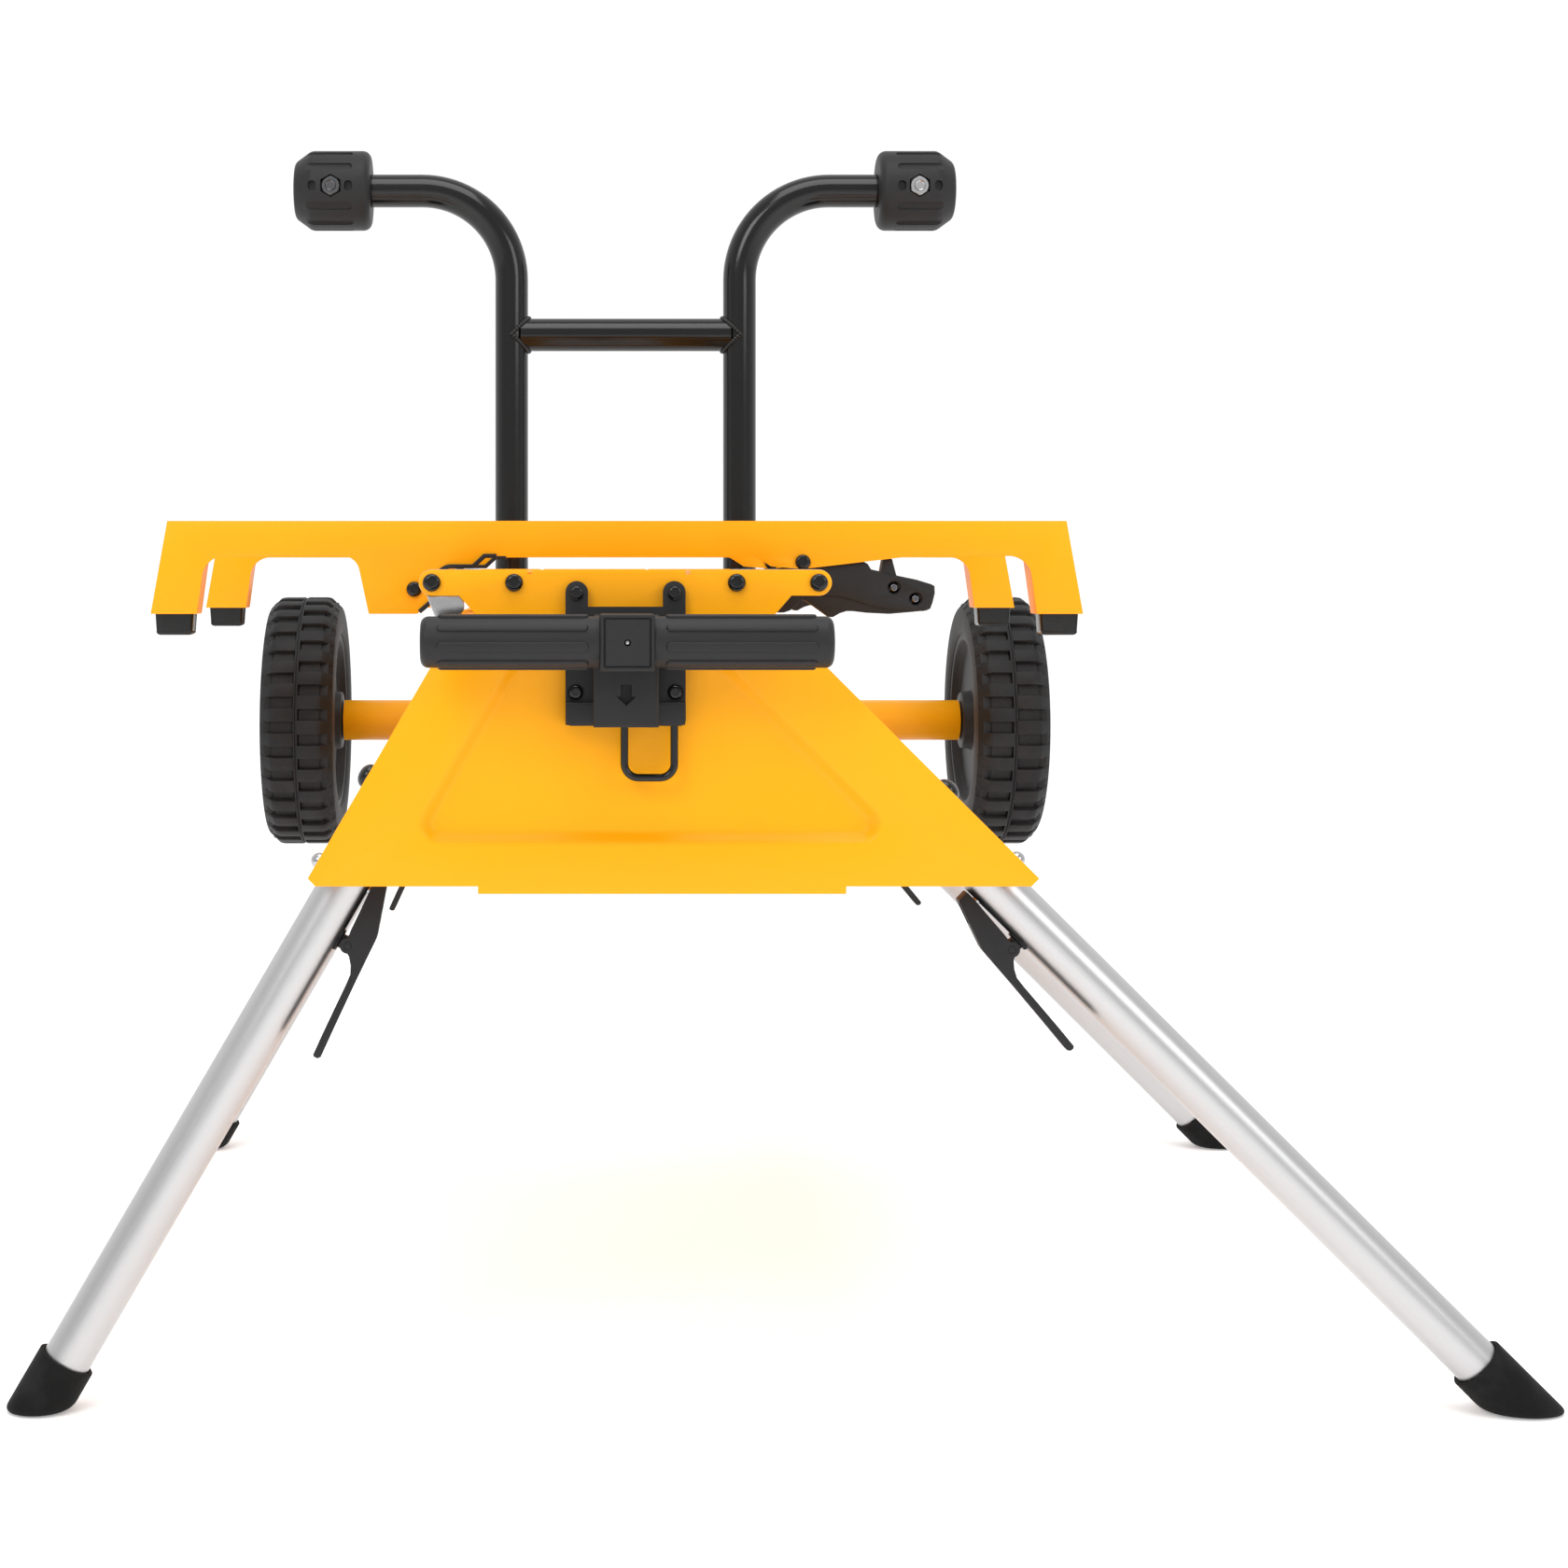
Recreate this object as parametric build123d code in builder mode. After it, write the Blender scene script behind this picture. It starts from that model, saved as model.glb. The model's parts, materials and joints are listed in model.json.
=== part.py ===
from build123d import *
from dataclasses import dataclass
from math import cos, pi, radians, sin, tan
import os

os.makedirs("parts", exist_ok=True)

# Table saw stand, millimetres, +Z up, +X to the right of a person who faces the
# pull handle, +Y from the pull handle towards the wheels. Heights are above the floor.
# "across" is measured from the middle plane between the two hook rods, and "along"
# from the outer face of the front end plate.

# ---- Body: two end plates, two side panels, two rails and two hook rods
body_length = 850.0
plate_thickness = 2.0
panel_thickness = 1.6
rod_height = 537.3
rod_reach = 123.5
rod_diameter = 17.0
rod_end_bore = 8.2
rod_bore_depth = 22.0
rod_chamfer = 1.0
plate_drop = 193.8
neck_drop = 19.8
neck_half_width = 96.0
gusset_half_width = 106.0
ear_radius = 8.3
corner_clip = 5.0
tongue_left = 94.0
tongue_right = 141.0
tongue_depth = 4.8
tongue_flange = 14.0
top_flange_left = 61.0
top_flange_right = 40.0
relief_width = 3.0
relief_depth = 6.0
recess_inset = 44.0
recess_rise = 29.0
recess_top_drop = 45.3
recess_depth = 5.0
recess_slope_angle = 52.0
recess_corner = 12.0
recess_skin = 2.6
rail_reach = 71.0
rail_width = 20.0
rail_wall = 1.8
rail_drop = 17.3
panel_flange = 24.0
bolt_diameter = 8.0
bolt_head_radius = 5.8
bolt_head_height = 4.2
bolt_length = 18.0
nut_radius = 7.0
nut_height = 6.0
insert_radius = 5.2
bolt_head_angle = 13.0
support_thickness = 2.5
support_drop = 29.0
fit_clearance = 0.1
running_clearance = 0.06
air_gap = 0.4
overrun = 1.0

# ---- Folding legs
left_splay_angle = 30.2
right_splay_angle = 45.1
left_pivot_reach = 167.5
left_pivot_drop = 128.3
right_pivot_reach = 213.0
right_pivot_drop = 137.8
near_pivot_along = 55.0
far_pivot_inset = 82.0
leg_lean_angle = 3.0
fold_tilt_angle = 5.0
leg_diameter = 31.75
leg_wall = 1.8
leg_head = 20.0
leg_to_panel = 3.7
pivot_collar_radius = 8.0
pivot_nut_gap = 0.6
pivot_bolt_diameter = 8.0
pivot_head_radius = 8.4
pivot_head_height = 7.5
pivot_nut_height = 5.0
lock_pin_reach = 64.0
lock_pin_diameter = 6.6
lock_dome_radius = 5.6
lock_dome_proud = 6.0
lock_pin_head_radius = 5.0
lock_pin_head = 2.2
lock_pin_seat = 21.0
guide_slot_clearance = 0.7
dome_shares = ((0.0, 1.0), (0.55, 0.86), (0.88, 0.48), (1.0, 0.0))
boot_wall = 3.3
boot_collar_length_left = 36.5
boot_collar_length_right = 43.6
sole_chamfer = 4.5
sole_thickness = 5.0

# ---- Release levers, laid out along a leg from its pivot and inward from its axis
fulcrum_along = 101.6
fulcrum_in = 22.5
lever_width = 20.0
lever_pin_diameter = 5.0
lever_boss = 5.1
lever_head_along = 54.8
lever_head_in = 16.6
lever_head_thickness = 8.0
lever_shoulder_along = 91.3
lever_shoulder_in = 19.1
lever_crest_along = 89.6
lever_crest_in = 36.5
lever_neck_along = 116.7
lever_neck_in = 33.7
lever_tip_along = 174.0
lever_tip_in = 43.9
lever_bar = 5.2
lever_pocket_length = 14.0
lever_pocket_floor = 19.4
lever_slot_length = 11.0
lug_width = 8.0
lug_round = 4.4
lug_base_length = 14.0
lug_base_width = 12.0
lug_base_thickness = 1.2

# ---- Axle and wheels
axle_inset = 32.0
axle_drop = 135.8
axle_tube_diameter = 38.0
axle_tube_wall = 2.5
axle_diameter = 12.0
wheel_diameter = 234.0
wheel_width = 68.0
left_wheel_reach = 284.6
right_wheel_reach = 371.4
wheel_gap = 1.5
tyre_inner_radius = 82.0
tyre_side_step = 3.0
tread_height = 5.0
tread_share = 0.62
tread_count = 32
tread_groove = 3.0
hub_radius = 27.0
hub_web = 45.0
hub_rim_wall = 6.0
cap_radius = 15.0
cap_height = 7.0

# ---- Horn frame behind the rear end plate
horn_left_reach = 90.9
horn_right_reach = 131.0
horn_tube_diameter = 32.0
horn_tube_wall = 2.0
horn_foot_rise = 5.5
horn_arm_rise = 376.5
horn_bend_radius = 87.0
horn_bar_drop = 140.3
horn_standoff = 5.0
horn_spacer_radius = 9.0
horn_lower_bolt_rise = 13.5
horn_left_bolt_rise = 131.5
horn_right_bolt_rise = 108.5
knob_diameter = 77.0
knob_length = 73.5
knob_left_outer = 300.8
knob_right_outer = 338.4
knob_round = 9.0
knob_chamfer = 13.0
knob_grooves = 10
knob_groove_width = 7.0
knob_groove_depth = 2.4
knob_pocket_radius = 9.0
knob_pocket_depth = 9.0

# ---- Pull handle, its sleeve, clip and wire bail
handle_drop = 36.6
handle_along = -45.0
handle_half_length = 128.0
grip_diameter = 32.0
grip_core = 22.0
grip_ribs = 8
grip_rib_height = 1.1
grip_rib_width = 6.5
grip_round = 6.0
hub_side = 35.0
hub_length = 33.6
stem_side = 25.0
stem_wall = 2.0
stem_hold = 95.0
stem_clearance = 0.3
sleeve_wall = 2.5
sleeve_length = 558.0
sleeve_strap_width = 30.0
handle_travel = 250.0
clip_half_width = 38.2
clip_below = 54.2
clip_above = 37.7
clip_ear_width = 14.3
clip_cross_above = 21.3
clip_base = 6.0
clip_foot_height = 15.0
clip_foot_depth = 11.0
channel_half_width = 20.5
clip_screw_reach = 31.3
clip_screw_below = 32.7
clip_screw_above = 29.9
clip_screw_radius = 4.6
clip_screw_head = 2.6
clip_screw_shank = 4.0
bail_left = 0.7
bail_right = 31.0
bail_drop = 33.1
bail_wire = 5.0
bail_radius = 9.0
bail_grip = 22.0
bail_travel = 8.0

# ---- Saw brackets that hook on the left rod and latch under the right rod
near_bracket_along = 277.0
bracket_spacing = 296.0
bracket_sheet = 3.0
bracket_depth = 27.0
bracket_top_half = 335.0
bracket_foot_half = 347.3
bracket_top_rise = 44.4
bracket_band_rise = 18.3
bracket_foot_drop = 24.9
leg_inner_top = 307.0
leg_inner_foot = 313.0
leg_corner = 17.0
keel_left = 184.8
keel_right = 148.7
keel_top = 194.1
keel_corner = 13.0
hook_gap = 0.4
hook_liner = 1.6
hook_liner_width = 7.0
hook_mouth = 107.0
hook_flare = 98.6
hook_tip_across = 132.0
hook_tip_drop = 10.4
seat_left = 102.9
seat_right = 134.2
seat_end = 143.9
slope_end = 222.0
boss_rise = 9.0
bend_radius = 2.0
latch_pivot_across = 15.1
latch_pivot_rise = 13.7
latch_boss = 9.0
latch_thickness = 17.0
latch_pin_diameter = 6.0
latch_length = 113.5
latch_depth = 41.4
latch_outline_shares = (
    (-0.040, -0.109),
    (0.0, 0.109),
    (0.079, 0.072),
    (0.420, 0.004),
    (0.450, -0.130),
    (0.518, -0.172),
    (0.530, 0.029),
    (0.593, 0.029),
    (0.619, -0.240),
    (0.870, -0.415),
    (0.864, -0.640),
    (0.830, -0.870),
    (0.570, -0.935),
    (0.290, -0.880),
    (0.190, -1.0),
    (0.071, -0.783),
    (0.0, -0.674),
    (-0.079, -0.870),
    (-0.163, -0.913),
    (-0.103, -0.554),
)
hook_bolt_across = 151.0
hook_bolt_drop = 6.5
bracket_bolt_radius = 5.6
bracket_bolt_head = 3.4
hook_wrap_start_angle = 90.0
hook_wrap_angle = 140.0
saw_hole_diameter = 9.0
saw_hole_reach = 290.0
foot_pad_width = 28.6
foot_pad_height = 16.0
foot_pad_depth = 22.0
foot_lip = 30.0
foot_pad_round = 1.75


@dataclass(frozen=True)
class Side:
    """One side of the body: its slant, its leg pivots and the way it faces."""

    name: str
    sign: float
    splay: float
    reach: float
    height: float
    collar: float

    def face(self, z):
        """Return how far across the panel's outer face lies at height z."""
        return self.sign * (self.reach - (z - self.height) * tan(radians(self.splay)))

    def outward(self):
        """Return the panel's outward normal."""
        return Vector(self.sign * cos(radians(self.splay)), 0, sin(radians(self.splay)))

    def down(self):
        """Return the way down the slant of the panel."""
        return Vector(self.sign * sin(radians(self.splay)), 0, -cos(radians(self.splay)))


plate_bottom = rod_height - plate_drop
neck_height = rod_height - neck_drop
recess_top = rod_height - recess_top_drop
rail_bottom = rod_height - rail_drop
left_pivot_height = rod_height - left_pivot_drop
right_pivot_height = rod_height - right_pivot_drop
far_pivot_along = body_length - far_pivot_inset
axle_along = body_length - axle_inset
axle_height = rod_height - axle_drop
horn_bottom = plate_bottom + horn_foot_rise
horn_arm_height = rod_height + horn_arm_rise
horn_bar_height = horn_arm_height - horn_bar_drop
horn_lower_bolt = plate_bottom + horn_lower_bolt_rise
horn_left_bolt = plate_bottom + horn_left_bolt_rise
horn_right_bolt = plate_bottom + horn_right_bolt_rise
handle_height = rod_height - handle_drop
stem_length = handle_travel + stem_hold
clip_bottom = handle_height - clip_below
clip_top = handle_height + clip_above
clip_cross_top = handle_height + clip_cross_above
clip_screw_low = handle_height - clip_screw_below
clip_screw_high = handle_height + clip_screw_above
bail_bottom = clip_bottom - bail_drop

left = Side(
    "left", -1, left_splay_angle, left_pivot_reach, left_pivot_height, boot_collar_length_left
)
right = Side(
    "right", 1, right_splay_angle, right_pivot_reach, right_pivot_height, boot_collar_length_right
)

rod_radius = rod_diameter / 2
leg_radius = leg_diameter / 2
axis_to_face = leg_radius + leg_to_panel + panel_thickness
boot_radius = leg_radius + boot_wall
rear_along = body_length
top_height = rod_height + ear_radius


def foot_reach(side):
    """Return how far across the outer edge of a boot's sole lies."""
    axis = side.reach - axis_to_face * cos(radians(side.splay))
    drop = side.height - axis_to_face * sin(radians(side.splay))
    return axis + drop * tan(radians(side.splay)) + boot_radius / cos(radians(side.splay))


# The origin is under the middle of the whole stand, on the floor.
handle_front = handle_along - grip_diameter / 2 - grip_rib_height
wheel_back = axle_along + wheel_diameter / 2
shift_across = (foot_reach(left) - foot_reach(right)) / 2
shift_along = -(handle_front + wheel_back) / 2


def place(across, along, z):
    """Return a point from its place across, along and up."""
    return Vector(across + shift_across, along + shift_along, z)


def upright(along):
    """Return the plane across the stand that faces the front, at a place along it."""
    return Plane(place(0, along, 0), x_dir=(1, 0, 0), z_dir=(0, -1, 0))


def level(z):
    """Return the level plane at a height."""
    return Plane(place(0, 0, z), x_dir=(1, 0, 0), z_dir=(0, 0, 1))


def lengthwise(across):
    """Return the plane along the stand that faces right, at a place across it."""
    return Plane(place(across, 0, 0), x_dir=(0, 1, 0), z_dir=(1, 0, 0))


def strip(points, thickness):
    """Return the outline of a bent sheet whose one face follows the points.

    The sheet lies on the left of the way that the points run.
    """
    points = [Vector(*p) for p in points]
    other = []
    for i, p in enumerate(points):
        before = (p - points[i - 1]).normalized() if i else None
        after = (points[i + 1] - p).normalized() if i + 1 < len(points) else None
        before = before or after
        after = after or before
        n1 = Vector(-before.Y, before.X)
        n2 = Vector(-after.Y, after.X)
        mitre = (n1 + n2).normalized()
        other.append(p + mitre * (thickness / mitre.dot(n1)))
    return points + other[::-1]


# ---- End plates: pressed sheet with ears for the rods and a dished panel


def plate_outline():
    """Return the corners of an end plate below its ears."""
    return [
        (left.face(neck_height), neck_height),
        (left.face(plate_bottom + corner_clip), plate_bottom + corner_clip),
        (left.face(plate_bottom + corner_clip) + corner_clip, plate_bottom),
        (right.face(plate_bottom + corner_clip) - corner_clip, plate_bottom),
        (right.face(plate_bottom + corner_clip), plate_bottom + corner_clip),
        (right.face(neck_height), neck_height),
    ]


def recess_edge(side, z):
    """Return how far across the edge of the dished panel lies at height z."""
    return side.face(z) - side.sign * recess_inset / cos(radians(side.splay))


recess_bottom = plate_bottom + recess_rise
recess_outline = [
    (recess_edge(left, recess_top), recess_top),
    (recess_edge(left, recess_bottom), recess_bottom),
    (recess_edge(right, recess_bottom), recess_bottom),
    (recess_edge(right, recess_top), recess_top),
]
neck_outline = [
    (-gusset_half_width, rod_height),
    (-gusset_half_width, rod_height - ear_radius),
    (-neck_half_width, neck_height),
    (neck_half_width, neck_height),
    (gusset_half_width, rod_height - ear_radius),
    (gusset_half_width, rod_height),
]
plate_bolts = [(-rod_reach, rod_height), (rod_reach, rod_height)]
rail_bolts = [(-rail_reach, rod_height), (rail_reach, rod_height)]
stem_bore = stem_side + 2 * stem_clearance
sleeve_side = stem_bore + 2 * sleeve_wall


def end_plate(along, way, holes):
    """Return an end plate whose outer face lies at a place along the body.

    Args:
        along: Place of the outer face.
        way: 1 where the body lies behind the plate, -1 where it lies in front.
        holes: Centre and radius of each further hole.

    Returns:
        The plate.
    """
    inner = -way
    with BuildPart() as plate:
        with BuildSketch(upright(along)):
            with BuildLine():
                Polyline(*plate_outline(), close=True)
            make_face()
            with BuildLine():
                Polyline(*neck_outline, close=True)
            make_face()
            with Locations((0, rod_height)):
                SlotCenterToCenter(2 * rod_reach, 2 * ear_radius)
            with Locations(((tongue_right - tongue_left) / 2, plate_bottom - tongue_depth / 2)):
                Rectangle(tongue_left + tongue_right, tongue_depth)
            with Locations(*plate_bolts, *rail_bolts):
                Circle(bolt_diameter / 2 + fit_clearance, mode=Mode.SUBTRACT)
            with Locations((-top_flange_left, top_height), (top_flange_right, top_height)):
                Rectangle(relief_width, relief_depth, mode=Mode.SUBTRACT)
        extrude(amount=inner * plate_thickness)
        with BuildSketch(upright(along)):
            with Locations(((tongue_right - tongue_left) / 2, plate_bottom - tongue_depth)):
                Rectangle(tongue_left + tongue_right, plate_thickness, align=(Align.CENTER, Align.MIN))
            with Locations(((top_flange_right - top_flange_left) / 2, top_height)):
                Rectangle(
                    top_flange_left + top_flange_right - relief_width,
                    plate_thickness,
                    align=(Align.CENTER, Align.MAX),
                )
        extrude(amount=inner * tongue_flange)
        with BuildSketch(upright(along)):
            with BuildLine():
                Polyline(*recess_outline, close=True)
            make_face()
            offset(amount=recess_skin)
        extrude(amount=inner * (recess_depth + plate_thickness), taper=recess_slope_angle)
        with BuildSketch(upright(along)):
            with BuildLine():
                Polyline(*recess_outline, close=True)
            make_face()
            fillet(vertices(), recess_corner)
        extrude(amount=inner * recess_depth, taper=recess_slope_angle, mode=Mode.SUBTRACT)
        for centre, radius in holes:
            with BuildSketch(upright(along)):
                with Locations(centre):
                    Circle(radius)
            extrude(amount=tongue_flange, both=True, mode=Mode.SUBTRACT)
        if way > 0:
            with BuildSketch(upright(along)):
                with Locations((0, handle_height)):
                    Rectangle(stem_bore, stem_bore)
            extrude(amount=tongue_flange, both=True, mode=Mode.SUBTRACT)
    return plate.part


clip_screws_at = [
    (-clip_screw_reach, clip_screw_low),
    (clip_screw_reach, clip_screw_low),
    (-clip_screw_reach, clip_screw_high),
    (clip_screw_reach, clip_screw_high),
]
horn_bolts_at = [
    (-horn_left_reach, horn_lower_bolt),
    (-horn_left_reach, horn_left_bolt),
    (horn_right_reach, horn_lower_bolt),
    (horn_right_reach, horn_right_bolt),
]
screw_hole = clip_screw_shank / 2 + fit_clearance
bolt_hole = bolt_diameter / 2 + fit_clearance

front_plate = end_plate(0, 1, [(p, screw_hole) for p in clip_screws_at])
front_plate.label = "front_end_plate"
export_step(front_plate, "parts/front_end_plate.step")

rear_plate = end_plate(rear_along, -1, [(p, bolt_hole) for p in horn_bolts_at])
rear_plate.label = "rear_end_plate"
export_step(rear_plate, "parts/rear_end_plate.step")


# ---- Side panels: slanted sheet with leg pivots, guide slots and the axle's hole


def leg_places():
    """Return each leg's name, side, pivot place and the way it folds along the body."""
    return [
        ("near_left", left, near_pivot_along, 1),
        ("near_right", right, near_pivot_along, 1),
        ("far_left", left, far_pivot_along, -1),
        ("far_right", right, far_pivot_along, -1),
    ]


def fold_angle(way):
    """Return how far a leg swings from standing to stowed."""
    return 90 + leg_lean_angle + way * fold_tilt_angle


for side in (left, right):
    with BuildPart() as panel:
        with BuildSketch(upright(plate_thickness + air_gap / 2)):
            panel_bottom = plate_bottom + corner_clip
            run = [
                (side.face(panel_bottom), panel_bottom),
                (side.face(rail_bottom), rail_bottom),
                (side.face(rail_bottom) - side.sign * panel_flange, rail_bottom),
            ]
            with BuildLine():
                Polyline(*strip(run, side.sign * panel_thickness), close=True)
            make_face()
        extrude(amount=-(body_length - 2 * plate_thickness - air_gap))
        for name, where, along, way in leg_places():
            if where is side:
                pivot = place(side.face(side.height), along, side.height)
                face = Plane(pivot, x_dir=side.down(), z_dir=side.outward())
                swing = Vector(0, way, 0).dot(face.y_dir)
                with BuildSketch(face):
                    Circle(pivot_bolt_diameter / 2 + fit_clearance)
                    first = -leg_lean_angle if swing > 0 else leg_lean_angle
                    with BuildLine():
                        track = CenterArc((0, 0), lock_pin_reach, first, swing * fold_angle(way))
                    SlotArc(track, 2 * (lock_dome_radius + guide_slot_clearance))
                extrude(amount=panel_thickness * 2, both=True, mode=Mode.SUBTRACT)
        with BuildSketch(lengthwise(0)):
            with Locations((axle_along, axle_height)):
                Circle(axle_tube_diameter / 2 + fit_clearance)
        extrude(amount=side.sign * body_length, mode=Mode.SUBTRACT)
    panel.part.label = f"{side.name}_side_panel"
    export_step(panel.part, f"parts/{side.name}_side_panel.step")


# ---- Hook rods, rails under the saw brackets, and what bolts them to the plates

for side in (left, right):
    with BuildPart() as rod:
        with BuildSketch(upright(plate_thickness)):
            with Locations((side.sign * rod_reach, rod_height)):
                Circle(rod_radius)
        extrude(amount=-(body_length - 2 * plate_thickness))
        chamfer(rod.edges().filter_by(GeomType.CIRCLE), rod_chamfer)
        for end, way in ((plate_thickness, -1), (body_length - plate_thickness, 1)):
            with BuildSketch(upright(end)):
                with Locations((side.sign * rod_reach, rod_height)):
                    Circle(rod_end_bore / 2)
            extrude(amount=way * rod_bore_depth, mode=Mode.SUBTRACT)
    rod.part.label = f"{side.name}_hook_rod"
    export_step(rod.part, f"parts/{side.name}_hook_rod.step")

rail_top = top_height - plate_thickness / 2
with BuildPart() as rails:
    with BuildSketch(upright(plate_thickness)):
        rail_middle = (rail_top + rail_bottom) / 2
        with Locations((-rail_reach, rail_middle), (rail_reach, rail_middle)):
            Rectangle(rail_width, rail_top - rail_bottom)
            hollow = rail_top - rail_bottom - 2 * rail_wall
            Rectangle(rail_width - 2 * rail_wall, hollow, mode=Mode.SUBTRACT)
    extrude(amount=-(body_length - 2 * plate_thickness))
rails.part.label = "body_rails"
export_step(rails.part, "parts/body_rails.step")

with BuildPart() as end_bolts:
    for along, out in ((0, 1), (body_length, -1)):
        with BuildSketch(upright(along)):
            with Locations(*plate_bolts, *rail_bolts):
                Circle(bolt_head_radius)
        extrude(amount=out * bolt_head_height, taper=bolt_head_angle)
        with BuildSketch(upright(along)):
            with Locations(*plate_bolts, *rail_bolts):
                Circle(bolt_diameter / 2)
        extrude(amount=-out * bolt_length)
        with BuildSketch(upright(along + out * plate_thickness)):
            with Locations(*rail_bolts):
                Circle(insert_radius)
        extrude(amount=-out * nut_height)
end_bolts.part.label = "end_plate_bolts"
export_step(end_bolts.part, "parts/end_plate_bolts.step")

with BuildPart() as supports:
    for along in (plate_thickness, body_length - plate_thickness - support_thickness):
        with BuildSketch(upright(along)):
            low = rod_height - support_drop
            shelf = rod_height - rod_radius
            with BuildLine():
                Polyline(
                    (-rod_reach + rod_radius / 2, low),
                    (left.face(low), low),
                    (left.face(rail_bottom), rail_bottom),
                    (left.face(rail_bottom), shelf + bracket_sheet),
                    (-rod_reach - rod_radius / 2, shelf + bracket_sheet),
                    close=True,
                )
            make_face()
            with Locations((-rod_reach, rod_height)):
                Circle(rod_radius + fit_clearance, mode=Mode.SUBTRACT)
        extrude(amount=-support_thickness)
supports.part.label = "rod_supports"
export_step(supports.part, "parts/rod_supports.step")


# ---- Folding legs with their boots, lock pins, release levers and saddles

boot_bore = leg_radius + fit_clearance / 2
pin_hole = lock_pin_diameter / 2 + running_clearance
dome_hole = lock_dome_radius + guide_slot_clearance / 2
for name, side, along, way in leg_places():
    inward = side.outward() * -1
    lean = radians(leg_lean_angle)
    along_leg = side.down() * cos(lean) + Vector(0, -way * sin(lean), 0)
    pivot = place(side.face(side.height), along, side.height) + inward * axis_to_face
    frame = Plane(pivot, x_dir=along_leg, z_dir=inward)
    flank = Plane(pivot, x_dir=along_leg, z_dir=along_leg.cross(inward))
    reach = pivot.Z / -along_leg.Z
    steep = tan(radians(side.splay))
    tube_end = reach - leg_radius * steep - sole_thickness / cos(radians(side.splay))
    section = Plane(pivot, x_dir=inward, z_dir=along_leg)

    with BuildPart() as leg:
        with BuildSketch(section.offset(-leg_head)):
            Circle(leg_radius)
            Circle(leg_radius - leg_wall, mode=Mode.SUBTRACT)
        extrude(amount=leg_head + tube_end)
        with BuildSketch(frame):
            Circle(pivot_bolt_diameter / 2 + running_clearance)
            with Locations((lock_pin_reach, 0)):
                Circle(pin_hole)
        extrude(amount=leg_diameter, both=True, mode=Mode.SUBTRACT)
        with BuildSketch(frame):
            with Locations((lock_pin_reach, 0)):
                Circle(dome_hole)
        extrude(amount=-leg_diameter, mode=Mode.SUBTRACT)
    leg.part.label = f"{name}_leg"
    export_step(leg.part, f"parts/{name}_leg.step")

    with BuildPart() as boot:
        with BuildSketch(section.offset(reach - side.collar)):
            Circle(boot_radius)
        extrude(amount=side.collar + boot_radius * steep + overrun)
        split(bisect_by=Plane.XY, keep=Keep.TOP)
        sole = boot.faces().sort_by(Axis.Z)[0]
        chamfer(sole.edges(), sole_chamfer)
        with BuildSketch(section.offset(reach - side.collar)):
            Circle(boot_bore)
        extrude(amount=side.collar - (reach - tube_end), mode=Mode.SUBTRACT)
    boot.part.label = f"{name}_boot"
    export_step(boot.part, f"parts/{name}_boot.step")

    with BuildPart() as lock_pin:
        dome_base = -(leg_radius + leg_to_panel / 2)
        dome_foot = -axis_to_face
        with BuildSketch(flank):
            with BuildLine():
                Polyline(
                    *[
                        (lock_pin_reach + lock_dome_radius * r, dome_foot - lock_dome_proud * h)
                        for r, h in dome_shares
                    ],
                    (lock_pin_reach + lock_dome_radius, dome_base),
                    (lock_pin_reach + lock_pin_diameter / 2, dome_base),
                    (lock_pin_reach + lock_pin_diameter / 2, lock_pin_seat),
                    (lock_pin_reach + lock_pin_head_radius, lock_pin_seat),
                    (lock_pin_reach + lock_pin_head_radius, lock_pin_seat + lock_pin_head),
                    (lock_pin_reach, lock_pin_seat + lock_pin_head),
                    close=True,
                )
            make_face()
        revolve(axis=Axis(pivot + along_leg * lock_pin_reach, inward))
    lock_pin.part.label = f"{name}_lock_pin"
    export_step(lock_pin.part, f"parts/{name}_lock_pin.step")

    with BuildPart() as lever:
        with BuildSketch(flank):
            with BuildLine():
                Polyline(
                    (lever_head_along, lever_head_in),
                    (lever_head_along, lever_head_in + lever_head_thickness),
                    (lever_crest_along, lever_crest_in),
                    (lever_tip_along, lever_tip_in),
                    (lever_tip_along, lever_tip_in - lever_bar),
                    (lever_neck_along, lever_neck_in),
                    (fulcrum_along + lever_boss, fulcrum_in + lever_boss / 2),
                    (fulcrum_along, fulcrum_in - lever_boss / 2),
                    (lever_shoulder_along, lever_shoulder_in),
                    (lever_head_along + lever_head_thickness, lever_head_in),
                    close=True,
                )
            make_face()
            with Locations((fulcrum_along, fulcrum_in)):
                Circle(lever_boss)
                Circle(lever_pin_diameter / 2 + running_clearance, mode=Mode.SUBTRACT)
        extrude(amount=lever_width / 2, both=True)
        with BuildSketch(flank):
            with Locations((fulcrum_along, fulcrum_in + lug_round + air_gap)):
                Rectangle(
                    2 * lug_base_length,
                    fulcrum_in + lug_round + air_gap,
                    align=(Align.CENTER, Align.MAX),
                )
        extrude(amount=lug_width / 2 + air_gap, both=True, mode=Mode.SUBTRACT)
        with BuildSketch(frame.offset(lever_pocket_floor)):
            with Locations((lock_pin_reach, 0)):
                Rectangle(lever_pocket_length, 2 * (lock_pin_head_radius + air_gap))
        extrude(amount=lever_crest_in, mode=Mode.SUBTRACT)
        with BuildSketch(frame):
            with Locations((lock_pin_reach, 0)):
                SlotOverall(lever_slot_length, lock_pin_diameter + 2 * air_gap)
        extrude(amount=lever_crest_in, mode=Mode.SUBTRACT)
    lever.part.label = f"{name}_release_lever"
    export_step(lever.part, f"parts/{name}_release_lever.step")

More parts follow.
